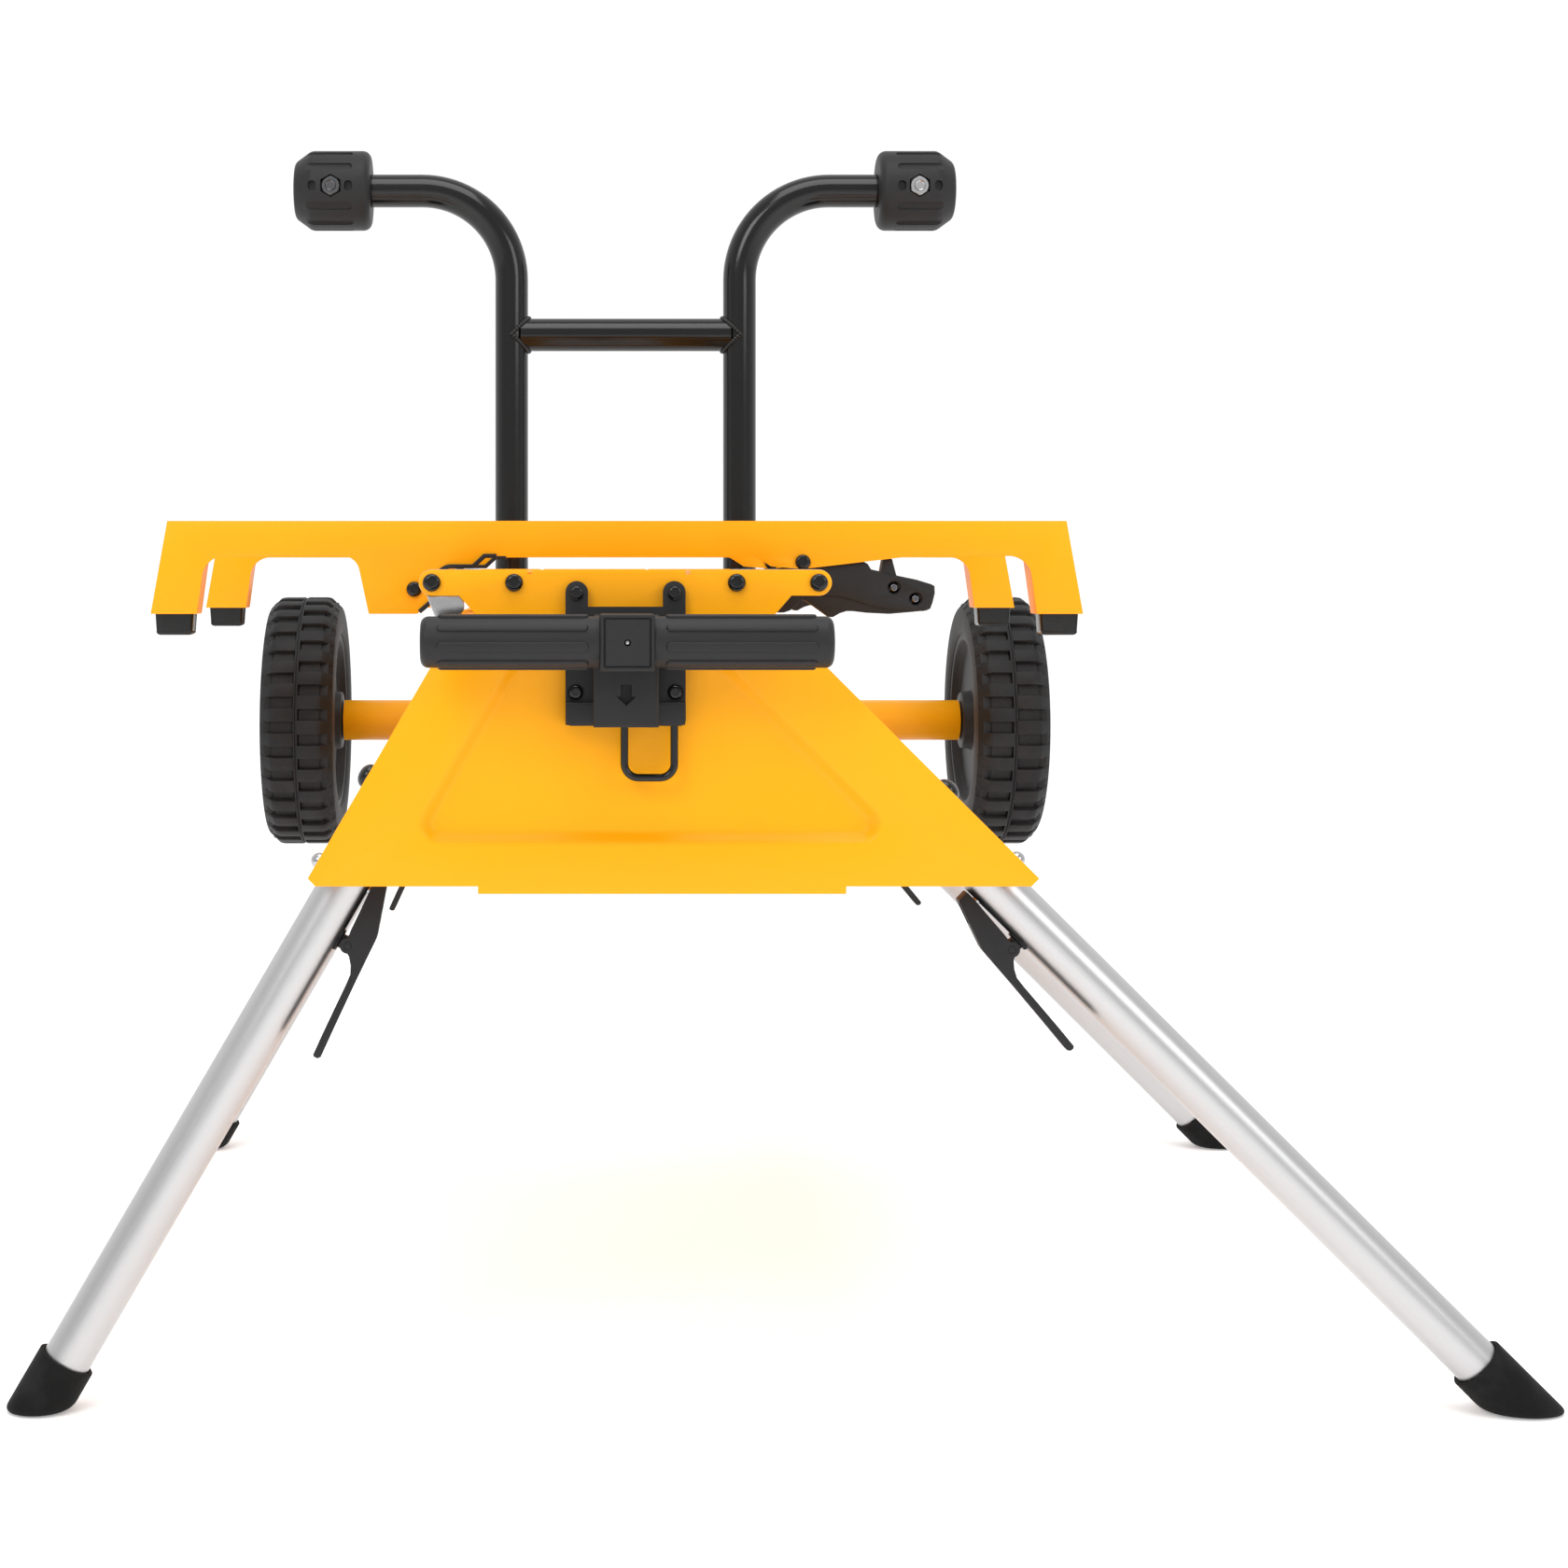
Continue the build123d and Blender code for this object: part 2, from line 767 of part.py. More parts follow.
    with BuildPart() as saddle:
        with BuildSketch(section.offset(fulcrum_along - lug_base_length / 2)):
            Circle(leg_radius + lug_base_thickness)
            with Locations((leg_radius, 0)):
                Rectangle(leg_radius, lug_base_width, mode=Mode.INTERSECT)
        extrude(amount=lug_base_length)
        with BuildSketch(flank):
            with Locations((fulcrum_along, fulcrum_in)):
                Circle(lug_round)
                Rectangle(2 * lug_round, fulcrum_in - leg_radius, align=(Align.CENTER, Align.MAX))
        extrude(amount=lug_width / 2, both=True)
        with BuildSketch(section.offset(fulcrum_along - lug_base_length)):
            Circle(leg_radius + fit_clearance / 2)
        extrude(amount=2 * lug_base_length, mode=Mode.SUBTRACT)
        with BuildSketch(flank):
            with Locations((fulcrum_along, fulcrum_in)):
                Circle(lever_pin_diameter / 2)
        extrude(amount=lever_width / 2, both=True)
    saddle.part.label = f"{name}_lever_saddle"
    export_step(saddle.part, f"parts/{name}_lever_saddle.step")

with BuildPart() as pivot_bolts:
    for name, side, along, way in leg_places():
        face = Plane(
            place(side.face(side.height), along, side.height), x_dir=side.down(), z_dir=side.outward()
        )
        inner_end = axis_to_face + leg_radius + pivot_nut_gap
        with BuildSketch(face):
            Circle(pivot_head_radius)
        extrude(amount=pivot_head_height, taper=bolt_head_angle)
        with BuildSketch(face.offset(-panel_thickness)):
            Circle(pivot_collar_radius)
        extrude(amount=-(leg_to_panel - air_gap))
        with BuildSketch(face):
            Circle(pivot_bolt_diameter / 2)
        extrude(amount=-(inner_end + pivot_nut_height))
        with BuildSketch(face.offset(-inner_end)):
            RegularPolygon(pivot_head_radius, 6)
        extrude(amount=-pivot_nut_height)
pivot_bolts.part.label = "leg_pivot_bolts"
export_step(pivot_bolts.part, "parts/leg_pivot_bolts.step")


# ---- Axle and wheels

wheel_radius = wheel_diameter / 2
axle_left = -left_wheel_reach + wheel_width / 2 + wheel_gap
axle_right = right_wheel_reach - wheel_width / 2 - wheel_gap
tube_bore = axle_tube_diameter / 2 - axle_tube_wall
with BuildPart() as axle_tube:
    with BuildSketch(lengthwise(axle_left)):
        with Locations((axle_along, axle_height)):
            Circle(axle_tube_diameter / 2)
            Circle(tube_bore, mode=Mode.SUBTRACT)
    extrude(amount=axle_right - axle_left)
axle_tube.part.label = "axle_tube"
export_step(axle_tube.part, "parts/axle_tube.step")

with BuildPart() as axle:
    outer_left = -left_wheel_reach - wheel_width / 2 - wheel_gap
    outer_right = right_wheel_reach + wheel_width / 2 + wheel_gap
    plug = hub_radius
    with BuildSketch(lengthwise(outer_left - cap_height)):
        with Locations((axle_along, axle_height)):
            Circle(axle_diameter / 2)
    extrude(amount=outer_right - outer_left + 2 * cap_height)
    for start, way in ((outer_left, -1), (outer_right, 1)):
        with BuildSketch(lengthwise(start)):
            with Locations((axle_along, axle_height)):
                Circle(cap_radius)
        extrude(amount=way * cap_height, taper=bolt_head_angle)
    for start, way in ((axle_left, 1), (axle_right, -1)):
        with BuildSketch(lengthwise(start)):
            with Locations((axle_along, axle_height)):
                Circle(tube_bore - fit_clearance)
        extrude(amount=way * plug)
axle.part.label = "axle_rod"
export_step(axle.part, "parts/axle_rod.step")

tread_pitch = 360 / tread_count
tread_radius = wheel_radius - tread_height
row_width = (wheel_width - tread_groove) / 2 - tyre_side_step
tread_length = 2 * pi * wheel_radius / tread_count * tread_share
bead_radius = tyre_inner_radius - hub_rim_wall
for side, reach in ((left, -left_wheel_reach), (right, right_wheel_reach)):
    hub_axis = Axis(place(reach, axle_along, axle_height), (1, 0, 0))
    profile = Plane(place(reach, axle_along, axle_height), x_dir=(1, 0, 0), z_dir=(0, -1, 0))
    with BuildPart() as tyre:
        with BuildSketch(profile):
            half = wheel_width / 2
            shoulder = tread_radius - 2 * tyre_side_step
            with BuildLine():
                Polyline(
                    (-half + tyre_side_step, tyre_inner_radius),
                    (-half, tyre_inner_radius + 2 * tyre_side_step),
                    (-half, shoulder),
                    (-half + tyre_side_step, tread_radius),
                    (half - tyre_side_step, tread_radius),
                    (half, shoulder),
                    (half, tyre_inner_radius + 2 * tyre_side_step),
                    (half - tyre_side_step, tyre_inner_radius),
                    close=True,
                )
            make_face()
        revolve(axis=hub_axis)
        for row in (-1, 1):
            ring = Plane(
                place(reach + row * (tread_groove + row_width) / 2, axle_along, axle_height),
                x_dir=(0, 1, 0),
                z_dir=(1, 0, 0),
            )
            with BuildSketch(ring):
                with PolarLocations(tread_radius, tread_count, start_angle=row * tread_pitch / 4):
                    Rectangle(2 * tread_height, tread_length)
                Circle(wheel_radius, mode=Mode.INTERSECT)
            extrude(amount=row_width / 2, both=True)
    tyre.part.label = f"{side.name}_wheel_tyre"
    export_step(tyre.part, f"parts/{side.name}_wheel_tyre.step")

    with BuildPart() as hub:
        rim = tyre_inner_radius - fit_clearance / 2
        with BuildSketch(profile):
            with BuildLine():
                Polyline(
                    (-half, axle_diameter / 2 + running_clearance),
                    (-half, hub_radius),
                    (-hub_web / 2, hub_radius),
                    (-hub_web / 2, bead_radius),
                    (-half + tyre_side_step, bead_radius),
                    (-half + tyre_side_step, rim),
                    (half - tyre_side_step, rim),
                    (half - tyre_side_step, bead_radius),
                    (hub_web / 2, bead_radius),
                    (hub_web / 2, hub_radius),
                    (half, hub_radius),
                    (half, axle_diameter / 2 + running_clearance),
                    close=True,
                )
            make_face()
        revolve(axis=hub_axis)
    hub.part.label = f"{side.name}_wheel_hub"
    export_step(hub.part, f"parts/{side.name}_wheel_hub.step")


# ---- Horn frame: two bent tubes and a crossbar behind the rear plate

horn_radius = horn_tube_diameter / 2
horn_along = rear_along + horn_standoff + horn_radius
horn_plane = upright(horn_along)
bar_left = -horn_left_reach
bar_right = horn_right_reach
horn_places = ((left, bar_left, -knob_left_outer), (right, bar_right, knob_right_outer))
for side, across, knob_outer in horn_places:
    arm_end = knob_outer - side.sign * knob_chamfer
    with BuildPart() as horn:
        with BuildLine(horn_plane) as bend:
            FilletPolyline(
                (across, horn_bottom),
                (across, horn_arm_height),
                (arm_end, horn_arm_height),
                radius=horn_bend_radius,
            )
        with BuildSketch(Plane(bend.line @ 0, z_dir=(0, 0, 1))):
            Circle(horn_radius)
            Circle(horn_radius - horn_tube_wall, mode=Mode.SUBTRACT)
        sweep(path=bend.line)
        with BuildSketch(horn_plane):
            with Locations(*[p for p in horn_bolts_at if p[0] == across]):
                Circle(bolt_hole)
        extrude(amount=horn_tube_diameter, both=True, mode=Mode.SUBTRACT)
        with BuildSketch(horn_plane):
            with Locations((knob_outer - side.sign * knob_length / 2, horn_arm_height)):
                Circle(bolt_hole)
        extrude(amount=horn_tube_diameter, both=True, mode=Mode.SUBTRACT)
    horn.part.label = f"{side.name}_horn_tube"
    export_step(horn.part, f"parts/{side.name}_horn_tube.step")

    with BuildPart() as knob:
        inner = knob_outer - side.sign * knob_length
        knob_radius = knob_diameter / 2
        turn = Axis(place(0, horn_along, horn_arm_height), (1, 0, 0))
        out = side.sign
        knob_bore = horn_radius + fit_clearance / 2
        with BuildSketch(horn_plane):
            with BuildLine():
                Polyline(
                    (inner, horn_arm_height + knob_bore),
                    (inner, horn_arm_height + knob_radius - knob_round),
                    (inner + out * knob_round / 3, horn_arm_height + knob_radius - knob_round / 3),
                    (inner + out * knob_round, horn_arm_height + knob_radius),
                    (knob_outer - out * knob_chamfer, horn_arm_height + knob_radius),
                    (knob_outer, horn_arm_height + knob_radius - knob_chamfer),
                    (knob_outer, horn_arm_height),
                    (arm_end, horn_arm_height),
                    (arm_end, horn_arm_height + knob_bore),
                    close=True,
                )
            make_face()
        revolve(axis=turn)
        spin = Plane(place(inner, horn_along, horn_arm_height), x_dir=(0, 0, 1), z_dir=(out, 0, 0))
        with BuildSketch(spin.offset(knob_round)):
            with PolarLocations(knob_radius, knob_grooves, start_angle=180 / knob_grooves):
                Rectangle(2 * knob_groove_depth, knob_groove_width)
        extrude(amount=knob_length - knob_round - knob_chamfer, mode=Mode.SUBTRACT)
        with BuildSketch(upright(horn_along - knob_radius)):
            with Locations((knob_outer - out * knob_length / 2, horn_arm_height)):
                Circle(knob_pocket_radius)
        extrude(amount=-knob_pocket_depth, mode=Mode.SUBTRACT)
        with BuildSketch(upright(horn_along + knob_radius)):
            with Locations((knob_outer - out * knob_length / 2, horn_arm_height)):
                Circle(knob_pocket_radius)
        extrude(amount=knob_pocket_depth, mode=Mode.SUBTRACT)
        with BuildSketch(horn_plane):
            with Locations((knob_outer - out * knob_length / 2, horn_arm_height)):
                Circle(bolt_hole)
        extrude(amount=knob_diameter, both=True, mode=Mode.SUBTRACT)
    knob.part.label = f"{side.name}_horn_knob"
    export_step(knob.part, f"parts/{side.name}_horn_knob.step")

with BuildPart() as crossbar:
    with BuildSketch(Plane(place(bar_left, horn_along, horn_bar_height), z_dir=(1, 0, 0))):
        Circle(horn_radius)
        Circle(horn_radius - horn_tube_wall, mode=Mode.SUBTRACT)
    extrude(amount=bar_right - bar_left)
    for across in (bar_left, bar_right):
        with BuildSketch(level(horn_bar_height - horn_tube_diameter)):
            with Locations((across, horn_along)):
                Circle(horn_radius + fit_clearance / 2)
        extrude(amount=2 * horn_tube_diameter, mode=Mode.SUBTRACT)
    bar = crossbar.solids().sort_by(SortBy.VOLUME)[-1]
crossbar_part = Part(bar.wrapped)
crossbar_part.label = "horn_crossbar"
export_step(crossbar_part, "parts/horn_crossbar.step")

with BuildPart() as horn_bolts:
    with BuildSketch(upright(rear_along - plate_thickness)):
        with Locations(*horn_bolts_at):
            RegularPolygon(nut_radius, 6)
    extrude(amount=nut_height)
    with BuildSketch(upright(rear_along - plate_thickness - nut_height)):
        with Locations(*horn_bolts_at):
            Circle(bolt_diameter / 2)
    extrude(amount=-(plate_thickness + nut_height + horn_standoff + horn_tube_diameter))
    with BuildSketch(upright(rear_along)):
        with Locations(*horn_bolts_at):
            Circle(horn_spacer_radius)
    extrude(amount=-horn_standoff)
    with BuildSketch(upright(rear_along + horn_standoff + horn_tube_diameter)):
        with Locations(*horn_bolts_at):
            Circle(bolt_head_radius)
    extrude(amount=-bolt_head_height)
    knob_centres = [
        (-knob_left_outer + knob_length / 2, horn_arm_height),
        (knob_right_outer - knob_length / 2, horn_arm_height),
    ]
    pocket_floor = knob_diameter / 2 - knob_pocket_depth
    with BuildSketch(upright(horn_along - pocket_floor)):
        with Locations(*knob_centres):
            RegularPolygon(nut_radius, 6)
    extrude(amount=nut_height)
    with BuildSketch(upright(horn_along + pocket_floor)):
        with Locations(*knob_centres):
            Circle(nut_radius)
    extrude(amount=-nut_height)
    with BuildSketch(horn_plane):
        with Locations(*knob_centres):
            Circle(bolt_diameter / 2)
    extrude(amount=pocket_floor, both=True)
horn_bolts.part.label = "horn_bolts"
export_step(horn_bolts.part, "parts/horn_bolts.step")


# ---- Pull handle: stem, hub and two ribbed grips

hub_back = handle_along + hub_side / 2
channel_depth = -hub_back - air_gap
with BuildPart() as stem:
    with BuildSketch(upright(handle_along)):
        with Locations((0, handle_height)):
            Rectangle(stem_side, stem_side)
            Rectangle(stem_side - 2 * stem_wall, stem_side - 2 * stem_wall, mode=Mode.SUBTRACT)
    extrude(amount=-stem_length)
    with BuildSketch(upright(handle_along)):
        with Locations((0, handle_height)):
            Circle(grip_core / 2 + running_clearance)
            Rectangle(stem_side - 2 * stem_wall, stem_side, mode=Mode.INTERSECT)
    extrude(amount=-stem_wall, mode=Mode.SUBTRACT)
    with BuildSketch(lengthwise(0)):
        with Locations((handle_along, handle_height)):
            Rectangle(grip_core + air_gap, stem_side + overrun)
    extrude(amount=stem_side, both=True, mode=Mode.SUBTRACT)
stem_body = stem.solids().sort_by(SortBy.VOLUME)[-1]
stem_part = Part(stem_body.wrapped)
stem_part.label = "handle_stem"
export_step(stem_part, "parts/handle_stem.step")

with BuildPart() as handle_hub:
    with BuildSketch(lengthwise(-hub_length / 2)):
        with Locations((handle_along, handle_height)):
            RectangleRounded(hub_side, hub_side, grip_rib_height)
    extrude(amount=hub_length)
    with BuildSketch(lengthwise(-handle_half_length + grip_round)):
        with Locations((handle_along, handle_height)):
            Circle(grip_core / 2)
    extrude(amount=2 * (handle_half_length - grip_round))
    with BuildSketch(upright(handle_along + grip_core / 2 + air_gap / 2)):
        with Locations((0, handle_height)):
            Rectangle(stem_side + fit_clearance, stem_side + fit_clearance)
    extrude(amount=-hub_side, mode=Mode.SUBTRACT)
handle_hub.part.label = "handle_hub"
export_step(handle_hub.part, "parts/handle_hub.step")

grip_radius = grip_diameter / 2
for side in (left, right):
    start = side.sign * hub_length / 2
    end = side.sign * handle_half_length
    with BuildPart() as grip:
        core = grip_core / 2 + fit_clearance / 2
        with BuildSketch(Plane(place(0, handle_along, handle_height), x_dir=(1, 0, 0), z_dir=(0, -1, 0))):
            with BuildLine():
                Polyline(
                    (start, core),
                    (start, grip_radius),
                    (end - side.sign * grip_round, grip_radius),
                    (end - side.sign * grip_round / 3, grip_radius - grip_round / 3),
                    (end, grip_radius - grip_round),
                    (end, 0),
                    (end - side.sign * grip_round, 0),
                    (end - side.sign * grip_round, core),
                    close=True,
                )
            make_face()
        revolve(axis=Axis(place(0, handle_along, handle_height), (1, 0, 0)))
        ribs = Plane(place(start, handle_along, handle_height), x_dir=(0, 0, 1), z_dir=(side.sign, 0, 0))
        with BuildSketch(ribs.offset(grip_round)):
            with PolarLocations(grip_radius, grip_ribs):
                Rectangle(2 * grip_rib_height, grip_rib_width)
            Circle(grip_radius + grip_rib_height, mode=Mode.INTERSECT)
        extrude(amount=handle_half_length - hub_length / 2 - 3 * grip_round)
    grip.part.label = f"{side.name}_grip"
    export_step(grip.part, f"parts/{side.name}_grip.step")

with BuildPart() as sleeve:
    with BuildSketch(upright(plate_thickness)):
        with Locations((0, handle_height)):
            Rectangle(sleeve_side, sleeve_side)
            Rectangle(stem_bore, stem_bore, mode=Mode.SUBTRACT)
    extrude(amount=-sleeve_length)
    recess_back = recess_depth + plate_thickness + fit_clearance
    with BuildSketch(upright(plate_thickness)):
        with Locations((0, recess_top)):
            Rectangle(2 * sleeve_side, sleeve_side, align=(Align.CENTER, Align.MAX))
    extrude(amount=-(recess_back - plate_thickness), mode=Mode.SUBTRACT)
sleeve.part.label = "handle_sleeve"
export_step(sleeve.part, "parts/handle_sleeve.step")

sleeve_top = handle_height + sleeve_side / 2
strap_top = rail_bottom - panel_thickness
strap_places = (sleeve_length / 3, sleeve_length - sleeve_strap_width)
with BuildPart() as straps:
    for along in strap_places:
        with BuildSketch(level(sleeve_top)):
            with Locations((0, along)):
                Rectangle(2 * (rail_reach + rail_width / 2), sleeve_strap_width)
        extrude(amount=strap_top - sleeve_top)
straps.part.label = "sleeve_straps"
export_step(straps.part, "parts/sleeve_straps.step")

with BuildPart() as clip:
    with BuildSketch(upright(0)):
        with Locations((0, (clip_bottom + clip_cross_top) / 2)):
            RectangleRounded(2 * clip_half_width, clip_cross_top - clip_bottom, clip_base)
        for hand in (-1, 1):
            ear = hand * (clip_half_width - clip_ear_width / 2)
            with Locations((ear, clip_top - clip_ear_width / 2)):
                Circle(clip_ear_width / 2)
            with Locations((ear, clip_top - clip_ear_width / 2)):
                Rectangle(
                    clip_ear_width,
                    clip_top - clip_ear_width / 2 - clip_cross_top + clip_base * 2,
                    align=(Align.CENTER, Align.MAX),
                )
    extrude(amount=clip_base)
    with BuildSketch(upright(0)):
        with Locations((0, clip_bottom + clip_foot_height / 2)):
            RectangleRounded(2 * clip_half_width, clip_foot_height, clip_base)
    extrude(amount=clip_foot_depth)
    with BuildSketch(upright(0)):
        with Locations((0, (clip_bottom + clip_cross_top) / 2)):
            Rectangle(2 * channel_half_width, clip_cross_top - clip_bottom)
    extrude(amount=channel_depth)
    with BuildSketch(upright(0)):
        with Locations((0, (clip_bottom + recess_top) / 2 - recess_depth * 2)):
            Rectangle(2 * clip_half_width, recess_top - clip_bottom - recess_depth * 4)
    extrude(amount=-recess_depth)
    with BuildSketch(upright(recess_depth)):
        with Locations((0, handle_height)):
            Rectangle(stem_bore, stem_bore)
    extrude(amount=recess_depth + channel_depth + clip_base, mode=Mode.SUBTRACT)
    with BuildSketch(upright(recess_depth)):
        with Locations(*clip_screws_at):
            Circle(screw_hole)
    extrude(amount=recess_depth + channel_depth, mode=Mode.SUBTRACT)
    with BuildSketch(level(clip_bottom)):
        with Locations((-bail_left, -clip_base), (bail_right, -clip_base)):
            Circle(bail_wire / 2 + fit_clearance)
    extrude(amount=bail_grip + overrun, mode=Mode.SUBTRACT)
clip.part.label = "handle_clip"
export_step(clip.part, "parts/handle_clip.step")

with BuildPart() as clip_screws:
    with BuildSketch(upright(-clip_base)):
        with Locations(*clip_screws_at):
            Circle(clip_screw_radius)
    extrude(amount=clip_screw_head, taper=bolt_head_angle)
    with BuildSketch(upright(-clip_base)):
        with Locations(*clip_screws_at):
            Circle(clip_screw_shank / 2)
    extrude(amount=-(clip_base + 2 * recess_depth))
clip_screws.part.label = "clip_screws"
export_step(clip_screws.part, "parts/clip_screws.step")

with BuildPart() as bail:
    bail_top = clip_bottom + bail_grip - bail_travel
    with BuildLine(upright(-clip_base)) as loop:
        FilletPolyline(
            (-bail_left, bail_top),
            (-bail_left, bail_bottom),
            (bail_right, bail_bottom),
            (bail_right, bail_top),
            radius=bail_radius,
        )
    with BuildSketch(Plane(loop.line @ 0, z_dir=(0, 0, 1))):
        Circle(bail_wire / 2)
    sweep(path=loop.line)
bail.part.label = "wire_bail"
export_step(bail.part, "parts/wire_bail.step")


# ---- Saw brackets

bracket_top = rod_height + bracket_top_rise
band = rod_height + bracket_band_rise
bracket_foot = rod_height - bracket_foot_drop
notch_radius = rod_radius + hook_gap + hook_liner
notch_top = rod_height + notch_radius
tip_height = rod_height - hook_tip_drop
latch_pivot = (rod_reach + latch_pivot_across, rod_height + latch_pivot_rise)
wrap_end = radians(hook_wrap_start_angle + hook_wrap_angle)
boss_low = latch_pivot[1] - boss_rise / 2


def bracket_outline():
    """Return the corners of a bracket's web and the radius of each corner."""
    crisp = bend_radius / 2
    seat_low = rod_height + rod_radius + hook_gap
    return [
        ((-bracket_top_half, bracket_top), bend_radius),
        ((bracket_top_half, bracket_top), bend_radius),
        ((bracket_foot_half, bracket_foot), bend_radius),
        ((leg_inner_foot, bracket_foot), crisp),
        ((leg_inner_top, band), leg_corner),
        ((slope_end, band), leg_corner),
        ((seat_end, boss_low), bend_radius),
        ((seat_right, boss_low - hook_gap), bend_radius),
        ((rod_reach - rod_radius, seat_low + hook_liner), bend_radius),
        ((seat_left, band), bend_radius * 3),
        ((-hook_flare, band), crisp),
        ((-hook_mouth, notch_top), bend_radius),
        ((-rod_reach, notch_top), crisp),
        ((-hook_tip_across, tip_height), crisp),
        ((-keel_right, bracket_foot), bend_radius),
        ((-keel_left, bracket_foot), bend_radius),
        ((-keel_top, band), keel_corner),
        ((-leg_inner_top, band), leg_corner),
        ((-leg_inner_foot, bracket_foot), crisp),
        ((-bracket_foot_half, bracket_foot), bend_radius),
    ]


def saw_bracket(along):
    """Return a pressed bracket whose web faces the front at a place along the body."""
    corners = bracket_outline()
    with BuildPart() as bracket:
        with BuildSketch(upright(along)):
            with BuildLine():
                FilletPolyline(*[c[0] for c in corners], radius=[c[1] for c in corners], close=True)
            make_face()
            with Locations((-rod_reach, rod_height)):
                Circle(notch_radius, mode=Mode.SUBTRACT)
            with Locations(latch_pivot, (-hook_bolt_across, rod_height - hook_bolt_drop)):
                Circle(latch_pin_diameter / 2 + fit_clearance, mode=Mode.SUBTRACT)
        extrude(amount=-bracket_sheet)
        with BuildSketch(upright(along)):
            skin = strip(
                [
                    (bracket_foot_half, bracket_foot),
                    (bracket_top_half, bracket_top),
                    (-bracket_top_half, bracket_top),
                    (-bracket_foot_half, bracket_foot),
                ],
                bracket_sheet,
            )
            with BuildLine():
                Polyline(*skin, close=True)
            make_face()
            for hand in (-1, 1):
                inner = [
                    (hand * leg_inner_foot, bracket_foot),
                    (hand * leg_inner_top, band),
                    (hand * (leg_inner_top - 2 * leg_corner), band),
                ]
                with BuildLine():
                    Polyline(*strip(inner, -hand * bracket_sheet), close=True)
                make_face()
                lip = (hand * (bracket_foot_half + leg_inner_foot) / 2, bracket_foot)
                with Locations(lip):
                    Rectangle(foot_lip, bracket_sheet, align=(Align.CENTER, Align.MIN))
            inner_band = [
                (-leg_inner_top + 2 * leg_corner, band),
                (-keel_top, band),
                (-keel_left, bracket_foot),
            ]
            with BuildLine():
                Polyline(*strip(inner_band, bracket_sheet), close=True)
            make_face()
        extrude(amount=-bracket_depth)
        with BuildSketch(level(bracket_top)):
            with Locations(
                (-saw_hole_reach, along + bracket_depth / 2), (saw_hole_reach, along + bracket_depth / 2)
            ):
                Circle(saw_hole_diameter / 2)
        extrude(amount=bracket_depth, both=True, mode=Mode.SUBTRACT)
        split(bisect_by=level(bracket_foot), keep=Keep.TOP)
    return bracket.part


brackets = (("near", near_bracket_along), ("far", near_bracket_along + bracket_spacing))
for name, along in brackets:
    bracket = saw_bracket(along)
    bracket.label = f"{name}_saw_bracket"
    export_step(bracket, f"parts/{name}_saw_bracket.step")

    with BuildPart() as liner:
        with BuildSketch(upright(along - (hook_liner_width - bracket_sheet) / 2)):
            with BuildLine():
                Polyline(
                    (-keel_right + hook_liner, bracket_foot + hook_liner),
                    (-hook_tip_across + hook_liner / 2, tip_height + hook_liner / 2),
                    (
                        -rod_reach + notch_radius * cos(wrap_end),
                        rod_height + notch_radius * sin(wrap_end),
                    ),
                )
                CenterArc(
                    (-rod_reach, rod_height), notch_radius, hook_wrap_start_angle, hook_wrap_angle
                )
                Polyline(
                    (-rod_reach, notch_top),
                    (-hook_mouth, notch_top),
                    (-hook_flare, band),
                    (-hook_flare + latch_boss, band),
                )
            trace(line_width=2 * hook_liner)
        extrude(amount=-hook_liner_width)
        add(bracket, mode=Mode.SUBTRACT)
    hook = liner.solids().sort_by(SortBy.VOLUME)[-1]
    hook_part = Part(hook.wrapped)
    hook_part.label = f"{name}_hook_liner"
    export_step(hook_part, f"parts/{name}_hook_liner.step")

    with BuildPart() as latch:
        px, pz = latch_pivot
        with BuildSketch(upright(along + bracket_sheet + air_gap)):
            with BuildLine():
                Polyline(
                    *[(px + latch_length * x, pz + latch_depth * z) for x, z in latch_outline_shares],
                    close=True,
                )
            make_face()
            with Locations(latch_pivot):
                Circle(latch_boss)
                Circle(latch_pin_diameter / 2 + running_clearance, mode=Mode.SUBTRACT)
            with Locations((rod_reach, rod_height)):
                Circle(rod_radius + 2 * hook_gap, mode=Mode.SUBTRACT)
        extrude(amount=-latch_thickness)
    latch.part.label = f"{name}_latch_lever"
    export_step(latch.part, f"parts/{name}_latch_lever.step")

with BuildPart() as bracket_bolts:
    for name, along in brackets:
        spots = (latch_pivot, (-hook_bolt_across, rod_height - hook_bolt_drop))
        with BuildSketch(upright(along)):
            with Locations(*spots):
                Circle(bracket_bolt_radius)
        extrude(amount=bracket_bolt_head, taper=bolt_head_angle)
        with BuildSketch(upright(along)):
            with Locations(*spots):
                Circle(latch_pin_diameter / 2)
        extrude(amount=-(bracket_sheet + 2 * air_gap + latch_thickness + nut_height / 2))
        with BuildSketch(upright(along + bracket_sheet + 2 * air_gap + latch_thickness)):
            with Locations(latch_pivot):
                RegularPolygon(bracket_bolt_radius, 6)
        extrude(amount=-nut_height / 2)
bracket_bolts.part.label = "bracket_bolts"
export_step(bracket_bolts.part, "parts/bracket_bolts.step")

with BuildPart() as pads:
    for name, along in brackets:
        with BuildSketch(level(bracket_foot - foot_pad_height)):
            for hand in (-1, 1):
                middle = hand * (bracket_foot_half + leg_inner_foot) / 2
                with Locations((middle, along + bracket_depth / 2)):
                    Rectangle(foot_pad_width, foot_pad_depth)
        extrude(amount=foot_pad_height)
    fillet(pads.edges().filter_by(Axis.Z), foot_pad_round)
pads.part.label = "bracket_pads"
export_step(pads.part, "parts/bracket_pads.step")
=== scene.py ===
"""Table saw stand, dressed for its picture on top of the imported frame."""

from __future__ import annotations

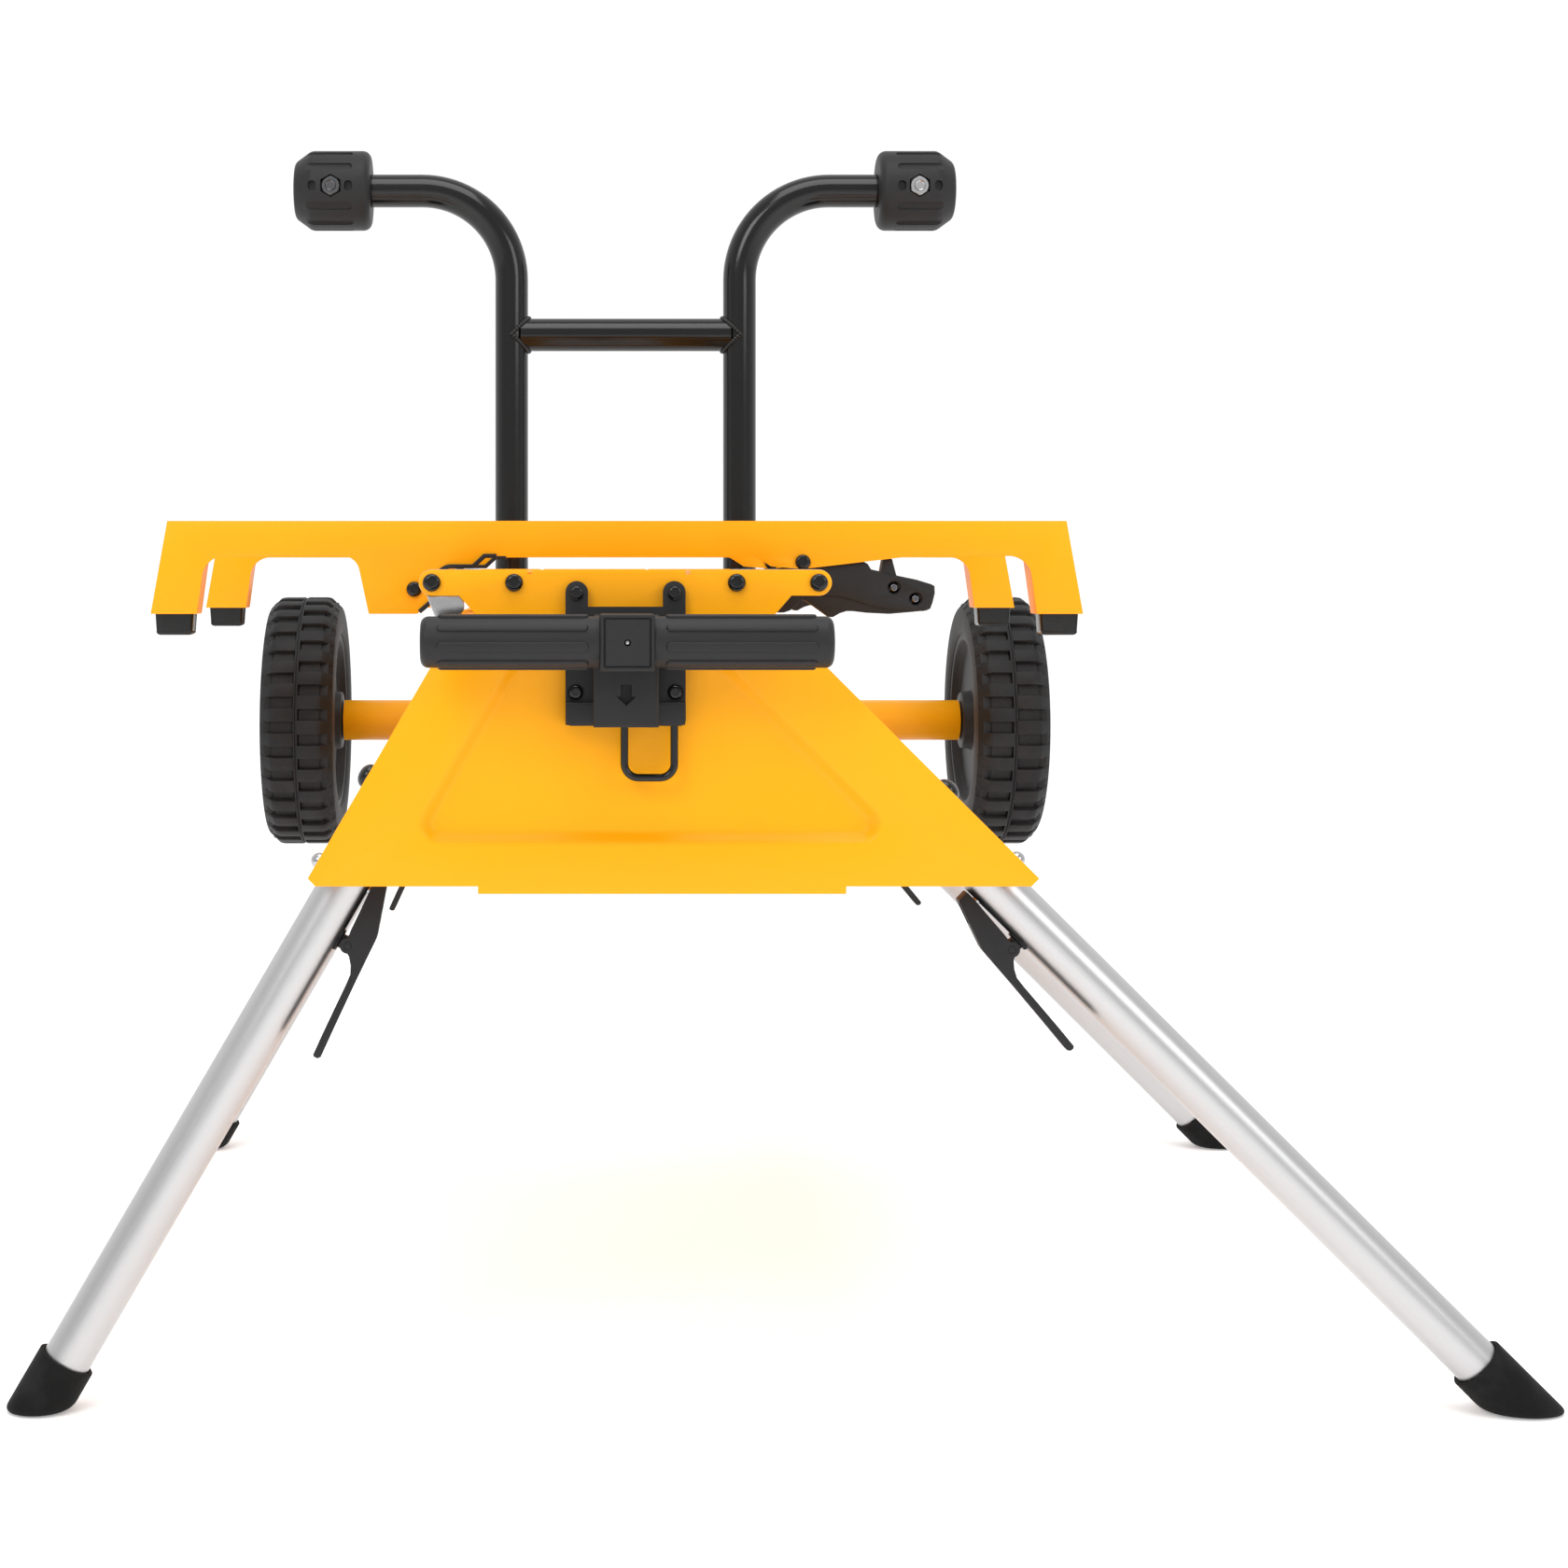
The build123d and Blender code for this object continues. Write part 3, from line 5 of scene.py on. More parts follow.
import json
import logging
import math
from dataclasses import dataclass
from enum import Enum, IntEnum
from typing import Any, Callable, Mapping, Sequence

import bmesh
import bpy
from mathutils import Euler, Matrix, Vector

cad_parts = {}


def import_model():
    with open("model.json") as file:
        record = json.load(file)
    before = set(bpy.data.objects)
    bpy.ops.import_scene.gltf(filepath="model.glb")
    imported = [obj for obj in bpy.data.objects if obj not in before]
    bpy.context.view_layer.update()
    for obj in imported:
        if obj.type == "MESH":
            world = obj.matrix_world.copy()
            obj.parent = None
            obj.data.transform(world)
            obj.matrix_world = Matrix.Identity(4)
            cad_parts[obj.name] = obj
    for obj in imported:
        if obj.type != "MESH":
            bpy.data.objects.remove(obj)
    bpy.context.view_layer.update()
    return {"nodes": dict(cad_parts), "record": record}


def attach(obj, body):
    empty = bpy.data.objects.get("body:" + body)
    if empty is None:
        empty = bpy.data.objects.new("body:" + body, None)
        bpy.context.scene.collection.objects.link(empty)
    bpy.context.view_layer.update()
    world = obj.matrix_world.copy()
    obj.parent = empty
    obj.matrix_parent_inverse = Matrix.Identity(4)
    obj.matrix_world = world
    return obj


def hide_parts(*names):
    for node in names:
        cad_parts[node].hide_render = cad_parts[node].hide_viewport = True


log = logging.getLogger("table_saw_stand")

MM = 0.001
NEAR = 0.00001
CLOSE = 0.1 * MM
Colour = tuple[float, float, float]
Profile = Sequence[tuple[float, float]]
Settings = Mapping[Any, Any]
Nodes = Mapping[str, bpy.types.Object]
Test = Callable[[Any], bool]

AHEAD = Vector((0, -1, 0))
BEHIND = Vector((0, 1, 0))
UP = Vector((0, 0, 1))
ACROSS = Vector((1, 0, 0))

# The middle plane between the hook rods and the front end plate's outer face, in metres.
MIDDLE_X = -103.917 * MM
FRONT_Y = -436.450 * MM


def at(across: float, along: float, height: float) -> Vector:
    """Return a point in metres from millimetres across, along and above the floor.

    Args:
        across: Distance to the right of the middle plane between the hook rods.
        along: Distance behind the front end plate's outer face.
        height: Height above the floor.

    Returns:
        The point in metres.
    """
    return Vector((MIDDLE_X + across * MM, FRONT_Y + along * MM, height * MM))


class Side(Enum):
    """The two sides of the stand, seen from the pull handle."""

    LEFT = "left"
    RIGHT = "right"

    @property
    def sign(self) -> float:
        """Return -1 on the left and 1 on the right."""
        return -1.0 if self is Side.LEFT else 1.0


class End(Enum):
    """The two ends of the stand: near the pull handle, or far from it."""

    NEAR = "near"
    FAR = "far"


class Axis(IntEnum):
    """The three axes, as places in a vector."""

    X = 0
    Y = 1
    Z = 2


# Shader maths


class Wire:
    """A shader socket on which Python's operators add Math nodes."""

    def __init__(self, graph: "Graph", socket: bpy.types.NodeSocket) -> None:
        """Wrap a socket of a graph."""
        self.graph = graph
        self.socket = socket

    def _math(self, operation: str, first: Any, second: Any = 0.0) -> "Wire":
        """Add a Math node on two values or wires."""
        return self.graph.node("ShaderNodeMath", {"operation": operation}, {0: first, 1: second})

    def __add__(self, other: Any) -> "Wire":
        """Return the sum."""
        return self._math("ADD", self, other)

    __radd__ = __add__

    def __sub__(self, other: Any) -> "Wire":
        """Return the difference."""
        return self._math("SUBTRACT", self, other)

    def __rsub__(self, other: Any) -> "Wire":
        """Return the difference, with this wire taken away."""
        return self._math("SUBTRACT", other, self)

    def __mul__(self, other: Any) -> "Wire":
        """Return the product."""
        return self._math("MULTIPLY", self, other)

    __rmul__ = __mul__


class Graph:
    """The node tree of one finish, or of the world."""

    def __init__(self, owner: Any, shader: str, output: str) -> None:
        """Start a tree with one shader on its output.

        Args:
            owner: The material or world whose tree it is.
            shader: Blender's name of the shader's type.
            output: Blender's name of the output's type.
        """
        owner.use_nodes = True
        self.owner = owner
        self.tree = owner.node_tree
        self.tree.nodes.clear()
        self.shader = self.tree.nodes.new(shader)
        self.tree.links.new(self.shader.outputs[0], self.tree.nodes.new(output).inputs["Surface"])

    @classmethod
    def of_finish(cls, name: str) -> "Graph":
        """Start a material with a Principled shader."""
        return cls(bpy.data.materials.new(name), "ShaderNodeBsdfPrincipled", "ShaderNodeOutputMaterial")

    @classmethod
    def of_world(cls, name: str) -> "Graph":
        """Start a world with a background."""
        return cls(bpy.data.worlds.new(name), "ShaderNodeBackground", "ShaderNodeOutputWorld")

    def node(self, kind: str, settings: Settings, sockets: Settings, output: Any = 0) -> Wire:
        """Add a node.

        Args:
            kind: Blender's name of the node's type.
            settings: Attributes set before the sockets, with "stops" for a ramp.
            sockets: Values or wires by the name or number of the input.
            output: Name or number of the output that is wanted.

        Returns:
            The wire of that output.
        """
        made = self.tree.nodes.new(kind)
        for key, value in settings.items():
            if key == "stops":
                self._ramp(made, value)
            else:
                setattr(made, key, value)
        for key, value in sockets.items():
            self.feed(made.inputs[key], value)
        return Wire(self, made.outputs[output])

    @staticmethod
    def _ramp(made: bpy.types.Node, stops: Profile) -> None:
        """Set the stops of a colour ramp.

        Args:
            made: The ramp's node.
            stops: Places along the ramp, each with its grey.
        """
        elements = made.color_ramp.elements
        while len(elements) < len(stops):
            elements.new(1.0)
        for element, (place, grey) in zip(elements, stops):
            element.position = place
            element.color = (grey, grey, grey, 1.0)

    def feed(self, socket: bpy.types.NodeSocket, value: Any) -> None:
        """Set a socket to a value, or link a wire to it.

        Args:
            socket: An input of a node.
            value: A number, colour or wire.
        """
        if isinstance(value, Wire):
            self.tree.links.new(value.socket, socket)
        elif isinstance(value, tuple) and len(value) == 3 and socket.type == "RGBA":
            socket.default_value = (*value, 1.0)
        else:
            socket.default_value = value

    def coordinates(self, turn: Euler = Euler(), scale: Sequence[float] = (1, 1, 1)) -> Wire:
        """Return Object coordinates, turned and then scaled for a pattern.

        Args:
            turn: Turn that brings the pattern's own axes onto the piece.
            scale: Scale along each of the pattern's axes.

        Returns:
            The wire of the coordinates.
        """
        place = self.node("ShaderNodeTexCoord", {}, {}, "Object")
        turned = self.node("ShaderNodeMapping", {}, {"Vector": place, "Rotation": tuple(turn)})
        return self.node("ShaderNodeVectorMath", {"operation": "MULTIPLY"}, {0: turned, 1: tuple(scale)})

    def noise(self, where: Wire, scale: float, detail: float = 2.0, rough: float = 0.5) -> Wire:
        """Return grey noise over a wire of coordinates."""
        sockets = {"Vector": where, "Scale": scale, "Detail": detail, "Roughness": rough}
        return self.node("ShaderNodeTexNoise", {}, sockets)

    def ramp(self, value: Wire, *stops: tuple[float, float]) -> Wire:
        """Return a value remapped through grey stops."""
        return self.node("ShaderNodeValToRGB", {"stops": stops}, {"Fac": value})

    def blend(self, factor: Wire, first: Any, second: Any) -> Wire:
        """Return a colour between two colours."""
        return self.node("ShaderNodeMix", {"data_type": "RGBA"}, {"Factor": factor, 6: first, 7: second}, 2)

    def bump(self, height: Wire, distance: float, strength: float = 1.0) -> Wire:
        """Return the normal of a height, in metres of relief."""
        sockets = {"Height": height, "Distance": distance, "Strength": strength}
        return self.node("ShaderNodeBump", {}, sockets)

    def set(self, **sockets: Any) -> None:
        """Feed the shader, with underscores for the spaces in the sockets' names."""
        for key, value in sockets.items():
            self.feed(self.shader.inputs[key.replace("_", " ")], value)


# Finishes


@dataclass(frozen=True)
class PowderCoat:
    """Baked powder coat on steel, with a fine orange peel and rubbed patches."""

    name: str
    colour: Colour
    deep: Colour
    roughness: float
    peel: float = 0.00002
    shine: float = 0.5

    def material(self) -> bpy.types.Material:
        """Return the finish as a material.

        Returns:
            The material.
        """
        graph = Graph.of_finish(self.name)
        place = graph.coordinates()
        cloud = graph.noise(place, 6.0, 3.0)
        peel = graph.noise(place, 900.0, 2.0)
        dust = graph.ramp(graph.noise(place, 140.0, 4.0, 0.65), (0.55, 0.0), (0.8, 1.0))
        graph.set(
            Base_Color=graph.blend(cloud, self.deep, self.colour),
            Roughness=dust * 0.06 + cloud * 0.08 + (self.roughness - 0.05),
            Normal=graph.bump(peel, self.peel),
            Specular_IOR_Level=self.shine,
        )
        return graph.owner


@dataclass(frozen=True)
class DrawnMetal:
    """Bare drawn or rolled metal, with lines along its length."""

    name: str
    colour: Colour
    roughness: float
    along: Sequence[float]
    lines: float = 0.00001

    def material(self) -> bpy.types.Material:
        """Return the finish as a material.

        Returns:
            The material.
        """
        graph = Graph.of_finish(self.name)
        turn = Vector(self.along).rotation_difference(UP).to_euler()
        lines = graph.noise(graph.coordinates(turn, (1400, 1400, 6)), 1.0, 3.0)
        cloud = graph.noise(graph.coordinates(turn, (30, 30, 3)), 1.0, 2.0)
        dark = tuple(channel * 0.8 for channel in self.colour)
        graph.set(
            Base_Color=graph.blend(lines * 0.5 + cloud * 0.5, dark, self.colour),
            Metallic=1.0,
            Roughness=lines * 0.12 + cloud * 0.08 + (self.roughness - 0.1),
            Normal=graph.bump(lines, self.lines),
        )
        return graph.owner


@dataclass(frozen=True)
class GrainedPlastic:
    """Moulded black plastic with a fine eroded grain."""

    name: str
    colour: Colour
    roughness: float
    grain: float = 0.00006
    shine: float = 0.3

    def material(self) -> bpy.types.Material:
        """Return the finish as a material.

        Returns:
            The material.
        """
        graph = Graph.of_finish(self.name)
        place = graph.coordinates()
        grain = graph.noise(place, 1500.0, 2.0, 0.6)
        cloud = graph.noise(place, 22.0, 3.0)
        light = tuple(channel * 1.5 for channel in self.colour)
        graph.set(
            Base_Color=graph.blend(cloud * 0.7 + grain * 0.3, self.colour, light),
            Roughness=grain * 0.1 + cloud * 0.1 + (self.roughness - 0.1),
            Normal=graph.bump(grain, self.grain),
            Specular_IOR_Level=self.shine,
        )
        return graph.owner


@dataclass(frozen=True)
class MouldedRubber:
    """Matt rubber, pitted and a little dusty in patches."""

    name: str
    colour: Colour
    roughness: float
    pits: float = 0.0001
    shine: float = 0.2

    def material(self) -> bpy.types.Material:
        """Return the finish as a material.

        Returns:
            The material.
        """
        graph = Graph.of_finish(self.name)
        place = graph.coordinates()
        pits = graph.noise(place, 700.0, 4.0, 0.7)
        dust = graph.ramp(graph.noise(place, 35.0, 4.0, 0.6), (0.45, 0.0), (0.75, 1.0))
        dusty = tuple(channel * 1.9 + 0.004 for channel in self.colour)
        graph.set(
            Base_Color=graph.blend(dust, self.colour, dusty),
            Roughness=pits * 0.12 + dust * 0.06 + (self.roughness - 0.08),
            Normal=graph.bump(pits, self.pits),
            Specular_IOR_Level=self.shine,
        )
        return graph.owner


# Modelling tools


class Kind(Enum):
    """What is picked in edit mode."""

    FACE = "FACE"
    EDGE = "EDGE"
    CORNER = "VERT"


def facing(point: Vector, axis: Vector, roll: float = 0.0) -> Matrix:
    """Return the matrix that stands a piece made along +Z at a point, along an axis.

    Args:
        point: Where the piece's origin goes.
        axis: Where its +Z goes.
        roll: Turn about its own length first, in degrees.

    Returns:
        The matrix.
    """
    turn = axis.to_track_quat("Z", "Y").to_matrix().to_4x4()
    return Matrix.Translation(point) @ turn @ Matrix.Rotation(math.radians(roll), 4, "Z")


def about(centre: Vector, axis: str, degrees: float) -> Matrix:
    """Return a turn about a line through a point, along one of the axes.

    Args:
        centre: A point on the line.
        axis: Letter of the axis.
        degrees: How far to turn.

    Returns:
        The turn as a matrix.
    """
    turn = Matrix.Rotation(math.radians(degrees), 4, axis)
    return Matrix.Translation(centre) @ turn @ Matrix.Translation(-centre)


def arc(centre: Sequence[float], radii: Sequence[float], start: float, end: float, steps: int) -> Profile:
    """Return points along an arc of a circle or an ellipse.

    Args:
        centre: Its centre.
        radii: Its radius along each of the two axes.
        start: Angle of the first point, in degrees.
        end: Angle of the last point.
        steps: Number of steps between them.

    Returns:
        The points in order.
    """
    points = []
    for step in range(steps + 1):
        angle = math.radians(start + (end - start) * step / steps)
        points.append((centre[0] + radii[0] * math.cos(angle), centre[1] + radii[1] * math.sin(angle)))
    return points


def mirrored(half: Profile) -> Profile:
    """Return half an outline and its mirror image, as one outline."""
    return [*half, *((-across, other) for across, other in reversed(half))]


def within(axis: Axis, low: float = -math.inf, high: float = math.inf) -> Test:
    """Return a test that passes an edge with both ends between two places along an axis."""
    return lambda edge: all(low < corner.co[axis] < high for corner in edge.verts)


def lies_at(axis: Axis, place: float) -> Test:
    """Return a test that passes an edge with both ends at one place along an axis."""
    return within(axis, place - CLOSE, place + CLOSE)


def on_line(point: Vector, way: Vector) -> Test:
    """Return a test that passes an edge with both ends on a line."""
    return lambda edge: all((corner.co - point).cross(way).length < NEAR for corner in edge.verts)


def spans(axis: Axis, least: float) -> Test:
    """Return a test that passes an edge that reaches further than a length along an axis."""
    return lambda edge: abs(edge.verts[0].co[axis] - edge.verts[1].co[axis]) > least


def looks(way: Vector, least: float = 0.9) -> Test:
    """Return a test that passes a face whose normal points nearly along a way."""
    return lambda face: face.normal.dot(way) > least


def both(first: Test, second: Test) -> Test:
    """Return a test that passes what two tests pass."""
    return lambda element: first(element) and second(element)


def clear() -> None:
    """Go back to object mode with nothing selected."""
    if bpy.context.object and bpy.context.object.mode != "OBJECT":
        bpy.ops.object.mode_set(mode="OBJECT")
    bpy.ops.object.select_all(action="DESELECT")


class Piece:
    """A new piece, shaped with edit-mode tools."""

    def __init__(self, obj: bpy.types.Object) -> None:
        """Take an object onto the bench."""
        self.obj = obj

    # Starting a piece

    @classmethod
    def _settle(cls, name: str) -> "Piece":
        """Name the primitive just added and put its place into its mesh.

        Args:
            name: The piece's name.

        Returns:
            The piece.
        """
        bpy.context.object.name = name
        bpy.ops.object.transform_apply(location=True, rotation=True, scale=True)
        return cls(bpy.context.object)

    @classmethod
    def block(cls, name: str, low: Vector, high: Vector) -> "Piece":
        """Add a block.

        Args:
            name: The piece's name.
            low: One of its corners.
            high: The opposite corner.

        Returns:
            The block.
        """
        clear()
        bpy.ops.mesh.primitive_cube_add(size=1.0, location=(low + high) / 2)
        bpy.context.object.scale = [abs(high[axis] - low[axis]) for axis in Axis]
        return cls._settle(name)

    @classmethod
    def rod(cls, name: str, start: Vector, end: Vector, radius: float, sides: int = 48) -> "Piece":
        """Add a rod between two points.

        Args:
            name: The piece's name.
            start: Middle of the first end.
            end: Middle of the second end.
            radius: Radius of the rod.
            sides: Number of flats round the rod.

        Returns:
            The rod.
        """
        clear()
        way = end - start
        bpy.ops.mesh.primitive_cone_add(
            vertices=sides, radius1=radius, radius2=radius, depth=way.length,
            location=(start + end) / 2, rotation=way.to_track_quat("Z", "Y").to_euler(),
        )
        return cls._settle(name)

    @classmethod
    def ball(cls, name: str, radius: float, segments: int, rings: int) -> "Piece":
        """Add a ball at the origin.

        Args:
            name: The piece's name.
            radius: Radius of the ball.
            segments: Number of steps round it.
            rings: Number of steps from pole to pole.

        Returns:
            The ball.
        """
        clear()
        bpy.ops.mesh.primitive_uv_sphere_add(
            segments=segments, ring_count=rings, radius=radius, location=(0, 0, 0),
        )
        return cls._settle(name)

    @classmethod
    def outline(cls, name: str, points: Sequence[Vector]) -> "Piece":
        """Draw a flat face by extruding one corner from point to point, and fill it.

        Args:
            name: The piece's name.
            points: Corners of the face in order.

        Returns:
            The face.
        """
        clear()
        bpy.ops.mesh.primitive_plane_add(size=1 * MM, location=points[0])
        piece = cls._settle(name)
        piece.whole(Kind.CORNER)
        bpy.ops.mesh.merge(type="CENTER")
        for last, point in zip(points, points[1:]):
            bpy.ops.mesh.extrude_region_move(TRANSFORM_OT_translate={"value": point - last})
        bpy.ops.mesh.select_all(action="SELECT")
        bpy.ops.mesh.edge_face_add()
        return piece

    @classmethod
    def spun(cls, name: str, points: Sequence[Vector], centre: Vector, axis: Vector, steps: int) -> "Piece":
        """Turn a closed outline about a line, and leave out the edges that lie on it.

        Args:
            name: The piece's name.
            points: Corners of the outline in order.
            centre: A point on the line.
            axis: The way along the line.
            steps: Number of steps round the line.

        Returns:
            The turned piece.
        """
        piece = cls.outline(name, points)
        piece.bare()
        piece.pick(Kind.EDGE, on_line(centre, axis))
        bpy.ops.mesh.delete(type=Kind.EDGE.value)
        piece.whole(Kind.EDGE).spin(centre, axis, 360, steps)
        return piece.outward()

    @classmethod
    def turned(cls, name: str, profile: Profile) -> "Piece":
        """Turn a closed outline, given as radii and heights in millimetres, about the Z axis."""
        points = [Vector((radius * MM, 0, height * MM)) for radius, height in profile]
        return cls.spun(name, points, Vector(), UP, 48)

    @classmethod
    def bent(cls, name: str, points: Sequence[Vector], radius: float, bend: float, steps: int) -> "Piece":
        """Bend a rod: its end is extruded along each run and spun round each corner.

        Args:
            name: The piece's name.
            points: Ends of the rod's straight runs, as if they met at sharp corners.
            radius: Radius of the rod.
            bend: Radius of each bend at the rod's middle line.
            steps: Number of steps in each bend.

        Returns:
            The bent rod.
        """
        runs = [after - before for before, after in zip(points, points[1:])]
        backs = [0.0, *(bend * math.tan(a.angle(b) / 2) for a, b in zip(runs, runs[1:])), 0.0]
        way = runs[0].normalized()
        tip = points[0] + way * (runs[0].length - backs[1])
        piece = cls.rod(name, points[0], tip, radius)
        for run, back, ahead in zip(runs[1:], backs[1:], backs[2:]):
            axis = way.cross(run).normalized()
            centre = tip + axis.cross(way) * bend
            piece.pick(Kind.FACE, lambda face: (face.calc_center_median() - tip).length < radius * 0.05)
            piece.spin(centre, axis, -math.degrees(way.angle(run)), steps)
            tip = centre + Matrix.Rotation(way.angle(run), 3, axis) @ (tip - centre)
            way = run.normalized()
            piece.extrude(way * (run.length - back - ahead))
            tip = tip + way * (run.length - back - ahead)
        return piece.outward()

    @classmethod
    def slab(cls, name: str, points: Sequence[Vector], way: Vector) -> "Piece":
        """Draw a flat outline and extrude it into a slab.

        Args:
            name: The piece's name.
            points: Corners of the outline in order.
            way: How far it is extruded, and where to.

        Returns:
            The slab.
        """
        piece = cls.outline(name, points)
        piece.whole().extrude(way)
        return piece.outward()

    @classmethod
    def of_node(cls, name: str, node: bpy.types.Object) -> "Piece":
        """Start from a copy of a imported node, merged and with its flat areas made whole.

        Args:
            name: The piece's name.
            node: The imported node.

        Returns:
            The copy as a piece.
        """
        clear()
        twin = bpy.data.objects.new(name, node.data.copy())
        bpy.context.scene.collection.objects.link(twin)
        piece = cls(twin)
        piece.outward()
        bpy.ops.mesh.dissolve_limited(angle_limit=math.radians(1.0))
        return piece

    # Picking and shaping

    def only(self) -> None:
        """Select this piece alone, in object mode."""
        clear()
        self.obj.select_set(True)
        bpy.context.view_layer.objects.active = self.obj

    def pick(self, kind: Kind, test: Callable[[Any], bool]) -> "Piece":
        """Pick the faces, edges or corners that pass a test, in edit mode.

        Args:
            kind: What is picked.
            test: Says of a face, edge or corner whether it is picked.

        Returns:
            The piece itself.
        """
        self.only()
        bpy.ops.object.mode_set(mode="EDIT")
        bpy.ops.mesh.select_mode(type=kind.value)
        bpy.ops.mesh.select_all(action="DESELECT")
        shape = bmesh.from_edit_mesh(self.obj.data)
        shape.normal_update()
        for element in {Kind.FACE: shape.faces, Kind.EDGE: shape.edges, Kind.CORNER: shape.verts}[kind]:
            if test(element):
                element.select_set(True)
        shape.select_flush_mode()
        bmesh.update_edit_mesh(self.obj.data)
        return self

    def whole(self, kind: Kind = Kind.FACE) -> "Piece":
        """Pick all faces, edges or corners."""
        return self.pick(kind, lambda element: True)

    def extrude(self, way: Vector) -> "Piece":
        """Extrude what is picked."""
        bpy.ops.mesh.extrude_region_move(TRANSFORM_OT_translate={"value": way})
        return self

    def move(self, way: Vector) -> "Piece":
        """Move what is picked."""
        bpy.ops.transform.translate(value=way)
        return self

    def grow(self, factors: Sequence[float]) -> "Piece":
        """Scale what is picked about its middle."""
        bpy.ops.transform.resize(value=factors)
        return self

    def inset(self, width: float, depth: float = 0.0) -> "Piece":
        """Inset the picked faces, and sink them if the depth is negative."""
        bpy.ops.mesh.inset(thickness=width, depth=depth)
        return self

    def terrace(self, steps: Profile) -> "Piece":
        """Inset the picked faces in steps of a width and a rise, in millimetres.

        Args:
            steps: The width and the rise of each step.

        Returns:
            The same piece.
        """
        for width, rise in steps:
            self.inset(width * MM, rise * MM)
        return self

    def bevel(self, width: float, segments: int = 3, profile: float = 0.5) -> "Piece":
        """Bevel the picked edges."""
        bpy.ops.mesh.bevel(offset=width, segments=segments, profile=profile, affect="EDGES")
        return self

    def spin(self, centre: Vector, axis: Vector, degrees: float, steps: int) -> "Piece":
        """Spin what is picked about a line."""
        bpy.ops.mesh.spin(steps=steps, angle=math.radians(degrees), center=centre, axis=axis)
        return self

    def bare(self) -> "Piece":
        """Delete every face and keep the edges.

        Returns:
            The same piece.
        """
        self.whole()
        bpy.ops.mesh.delete(type="ONLY_FACE")
        return self

    # Whole-piece work

    def modify(self, kind: str, **settings: Any) -> "Piece":
        """Add a modifier and apply it.

        Args:
            kind: Blender's name of its type.
            settings: Its settings by name.

        Returns:
            The piece itself.
        """
        self.only()
        modifier = self.obj.modifiers.new(kind.lower(), kind)
        for key, value in settings.items():
            setattr(modifier, key, value)
        bpy.ops.object.modifier_apply(modifier=modifier.name)
        return self

    def _combine(self, operation: str, tool: "Piece", **settings: Any) -> "Piece":
        """Combine a tool's shape with this piece, and throw the tool away.

        Args:
            operation: Blender's name of what is done.
            tool: The other piece.
            settings: More settings of the modifier.

        Returns:
            The piece itself.
        """
        clear()
        self.modify("BOOLEAN", operation=operation, solver="EXACT", object=tool.obj, **settings)
        bpy.data.objects.remove(tool.obj)
        return self

    def cut(self, tool: "Piece", keep_overlap: bool = False) -> "Piece":
        """Cut a tool's shape out of this piece."""
        return self._combine("DIFFERENCE", tool, use_self=keep_overlap)

    def weld(self, tool: "Piece") -> "Piece":
        """Unite a tool's shape with this piece."""
        return self._combine("UNION", tool)

    def meet(self, tool: "Piece") -> "Piece":
        """Keep only what this piece shares with a tool."""
        return self._combine("INTERSECT", tool)

    def join(self, *others: "Piece") -> "Piece":
        """Join other pieces to this one.

        Args:
            others: The other pieces.

        Returns:
            The piece itself.
        """
        clear()
        for other in others:
            other.obj.select_set(True)
        self.obj.select_set(True)
        bpy.context.view_layer.objects.active = self.obj
        bpy.ops.object.join()
        return self

    def copy(self, name: str, matrix: Matrix) -> "Piece":
        """Copy the piece with its own mesh.

        Args:
            name: The copy's name.
            matrix: Where the copy goes.

        Returns:
            The copy.
        """
        clear()
        twin = self.obj.copy()
        twin.data = self.obj.data.copy()
        twin.name = name
        bpy.context.scene.collection.objects.link(twin)
        twin.matrix_world = matrix @ twin.matrix_world
        made = Piece(twin)
        made.only()
        bpy.ops.object.transform_apply(location=True, rotation=True, scale=True)
        return made

    def array(self, matrices: Sequence[Matrix]) -> "Piece":
        """Copy the piece by each matrix, join the copies and throw the first away.

        Args:
            matrices: Where the copies go.

        Returns:
            The copies as one piece.
        """
        copies = [self.copy(self.obj.name, matrix) for matrix in matrices]
        bpy.data.objects.remove(self.obj)
        return copies[0].join(*copies[1:]) if len(copies) > 1 else copies[0]

    def round(self, width: float, segments: int = 3, angle: float = 30.0) -> "Piece":
        """Round every edge that turns by more than an angle.

        Args:
            width: How wide the rounding is, in metres.
            segments: How many faces lie across it.
            angle: The least turn of an edge that is rounded, in degrees.

        Returns:
            The same piece.
        """
        return self.modify(
            "BEVEL", width=width, segments=segments, limit_method="ANGLE", angle_limit=math.radians(angle),
            use_clamp_overlap=True,
        )

    def merge(self) -> None:
        """Merge doubles, with every face picked."""
        self.whole()
        bpy.ops.mesh.remove_doubles(threshold=NEAR / 10)

    def outward(self) -> "Piece":
        """Merge doubles and turn every face outwards.

        Returns:
            The same piece.
        """
        self.merge()
        bpy.ops.mesh.normals_make_consistent(inside=False)
        return self

    def finish(
        self, name: str, material: bpy.types.Material, slot: str, body: str, *nodes: str,
        smooth: float = 35.0,
    ) -> "Piece":
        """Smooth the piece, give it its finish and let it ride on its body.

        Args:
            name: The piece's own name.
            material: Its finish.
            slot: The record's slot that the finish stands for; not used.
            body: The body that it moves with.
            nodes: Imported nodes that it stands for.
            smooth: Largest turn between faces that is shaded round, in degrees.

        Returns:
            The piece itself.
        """
        self.only()
        bpy.ops.object.shade_smooth_by_angle(angle=math.radians(smooth))
        self.obj.name = name
        self.obj.data.name = name
        self.obj.data.materials.clear()
        self.obj.data.materials.append(material)
        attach(self.obj, body)
        if nodes:
            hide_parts(*nodes)
        clear()
        log.info("%s: %d faces on %s", name, len(self.obj.data.polygons), body)
        return self


# Studio


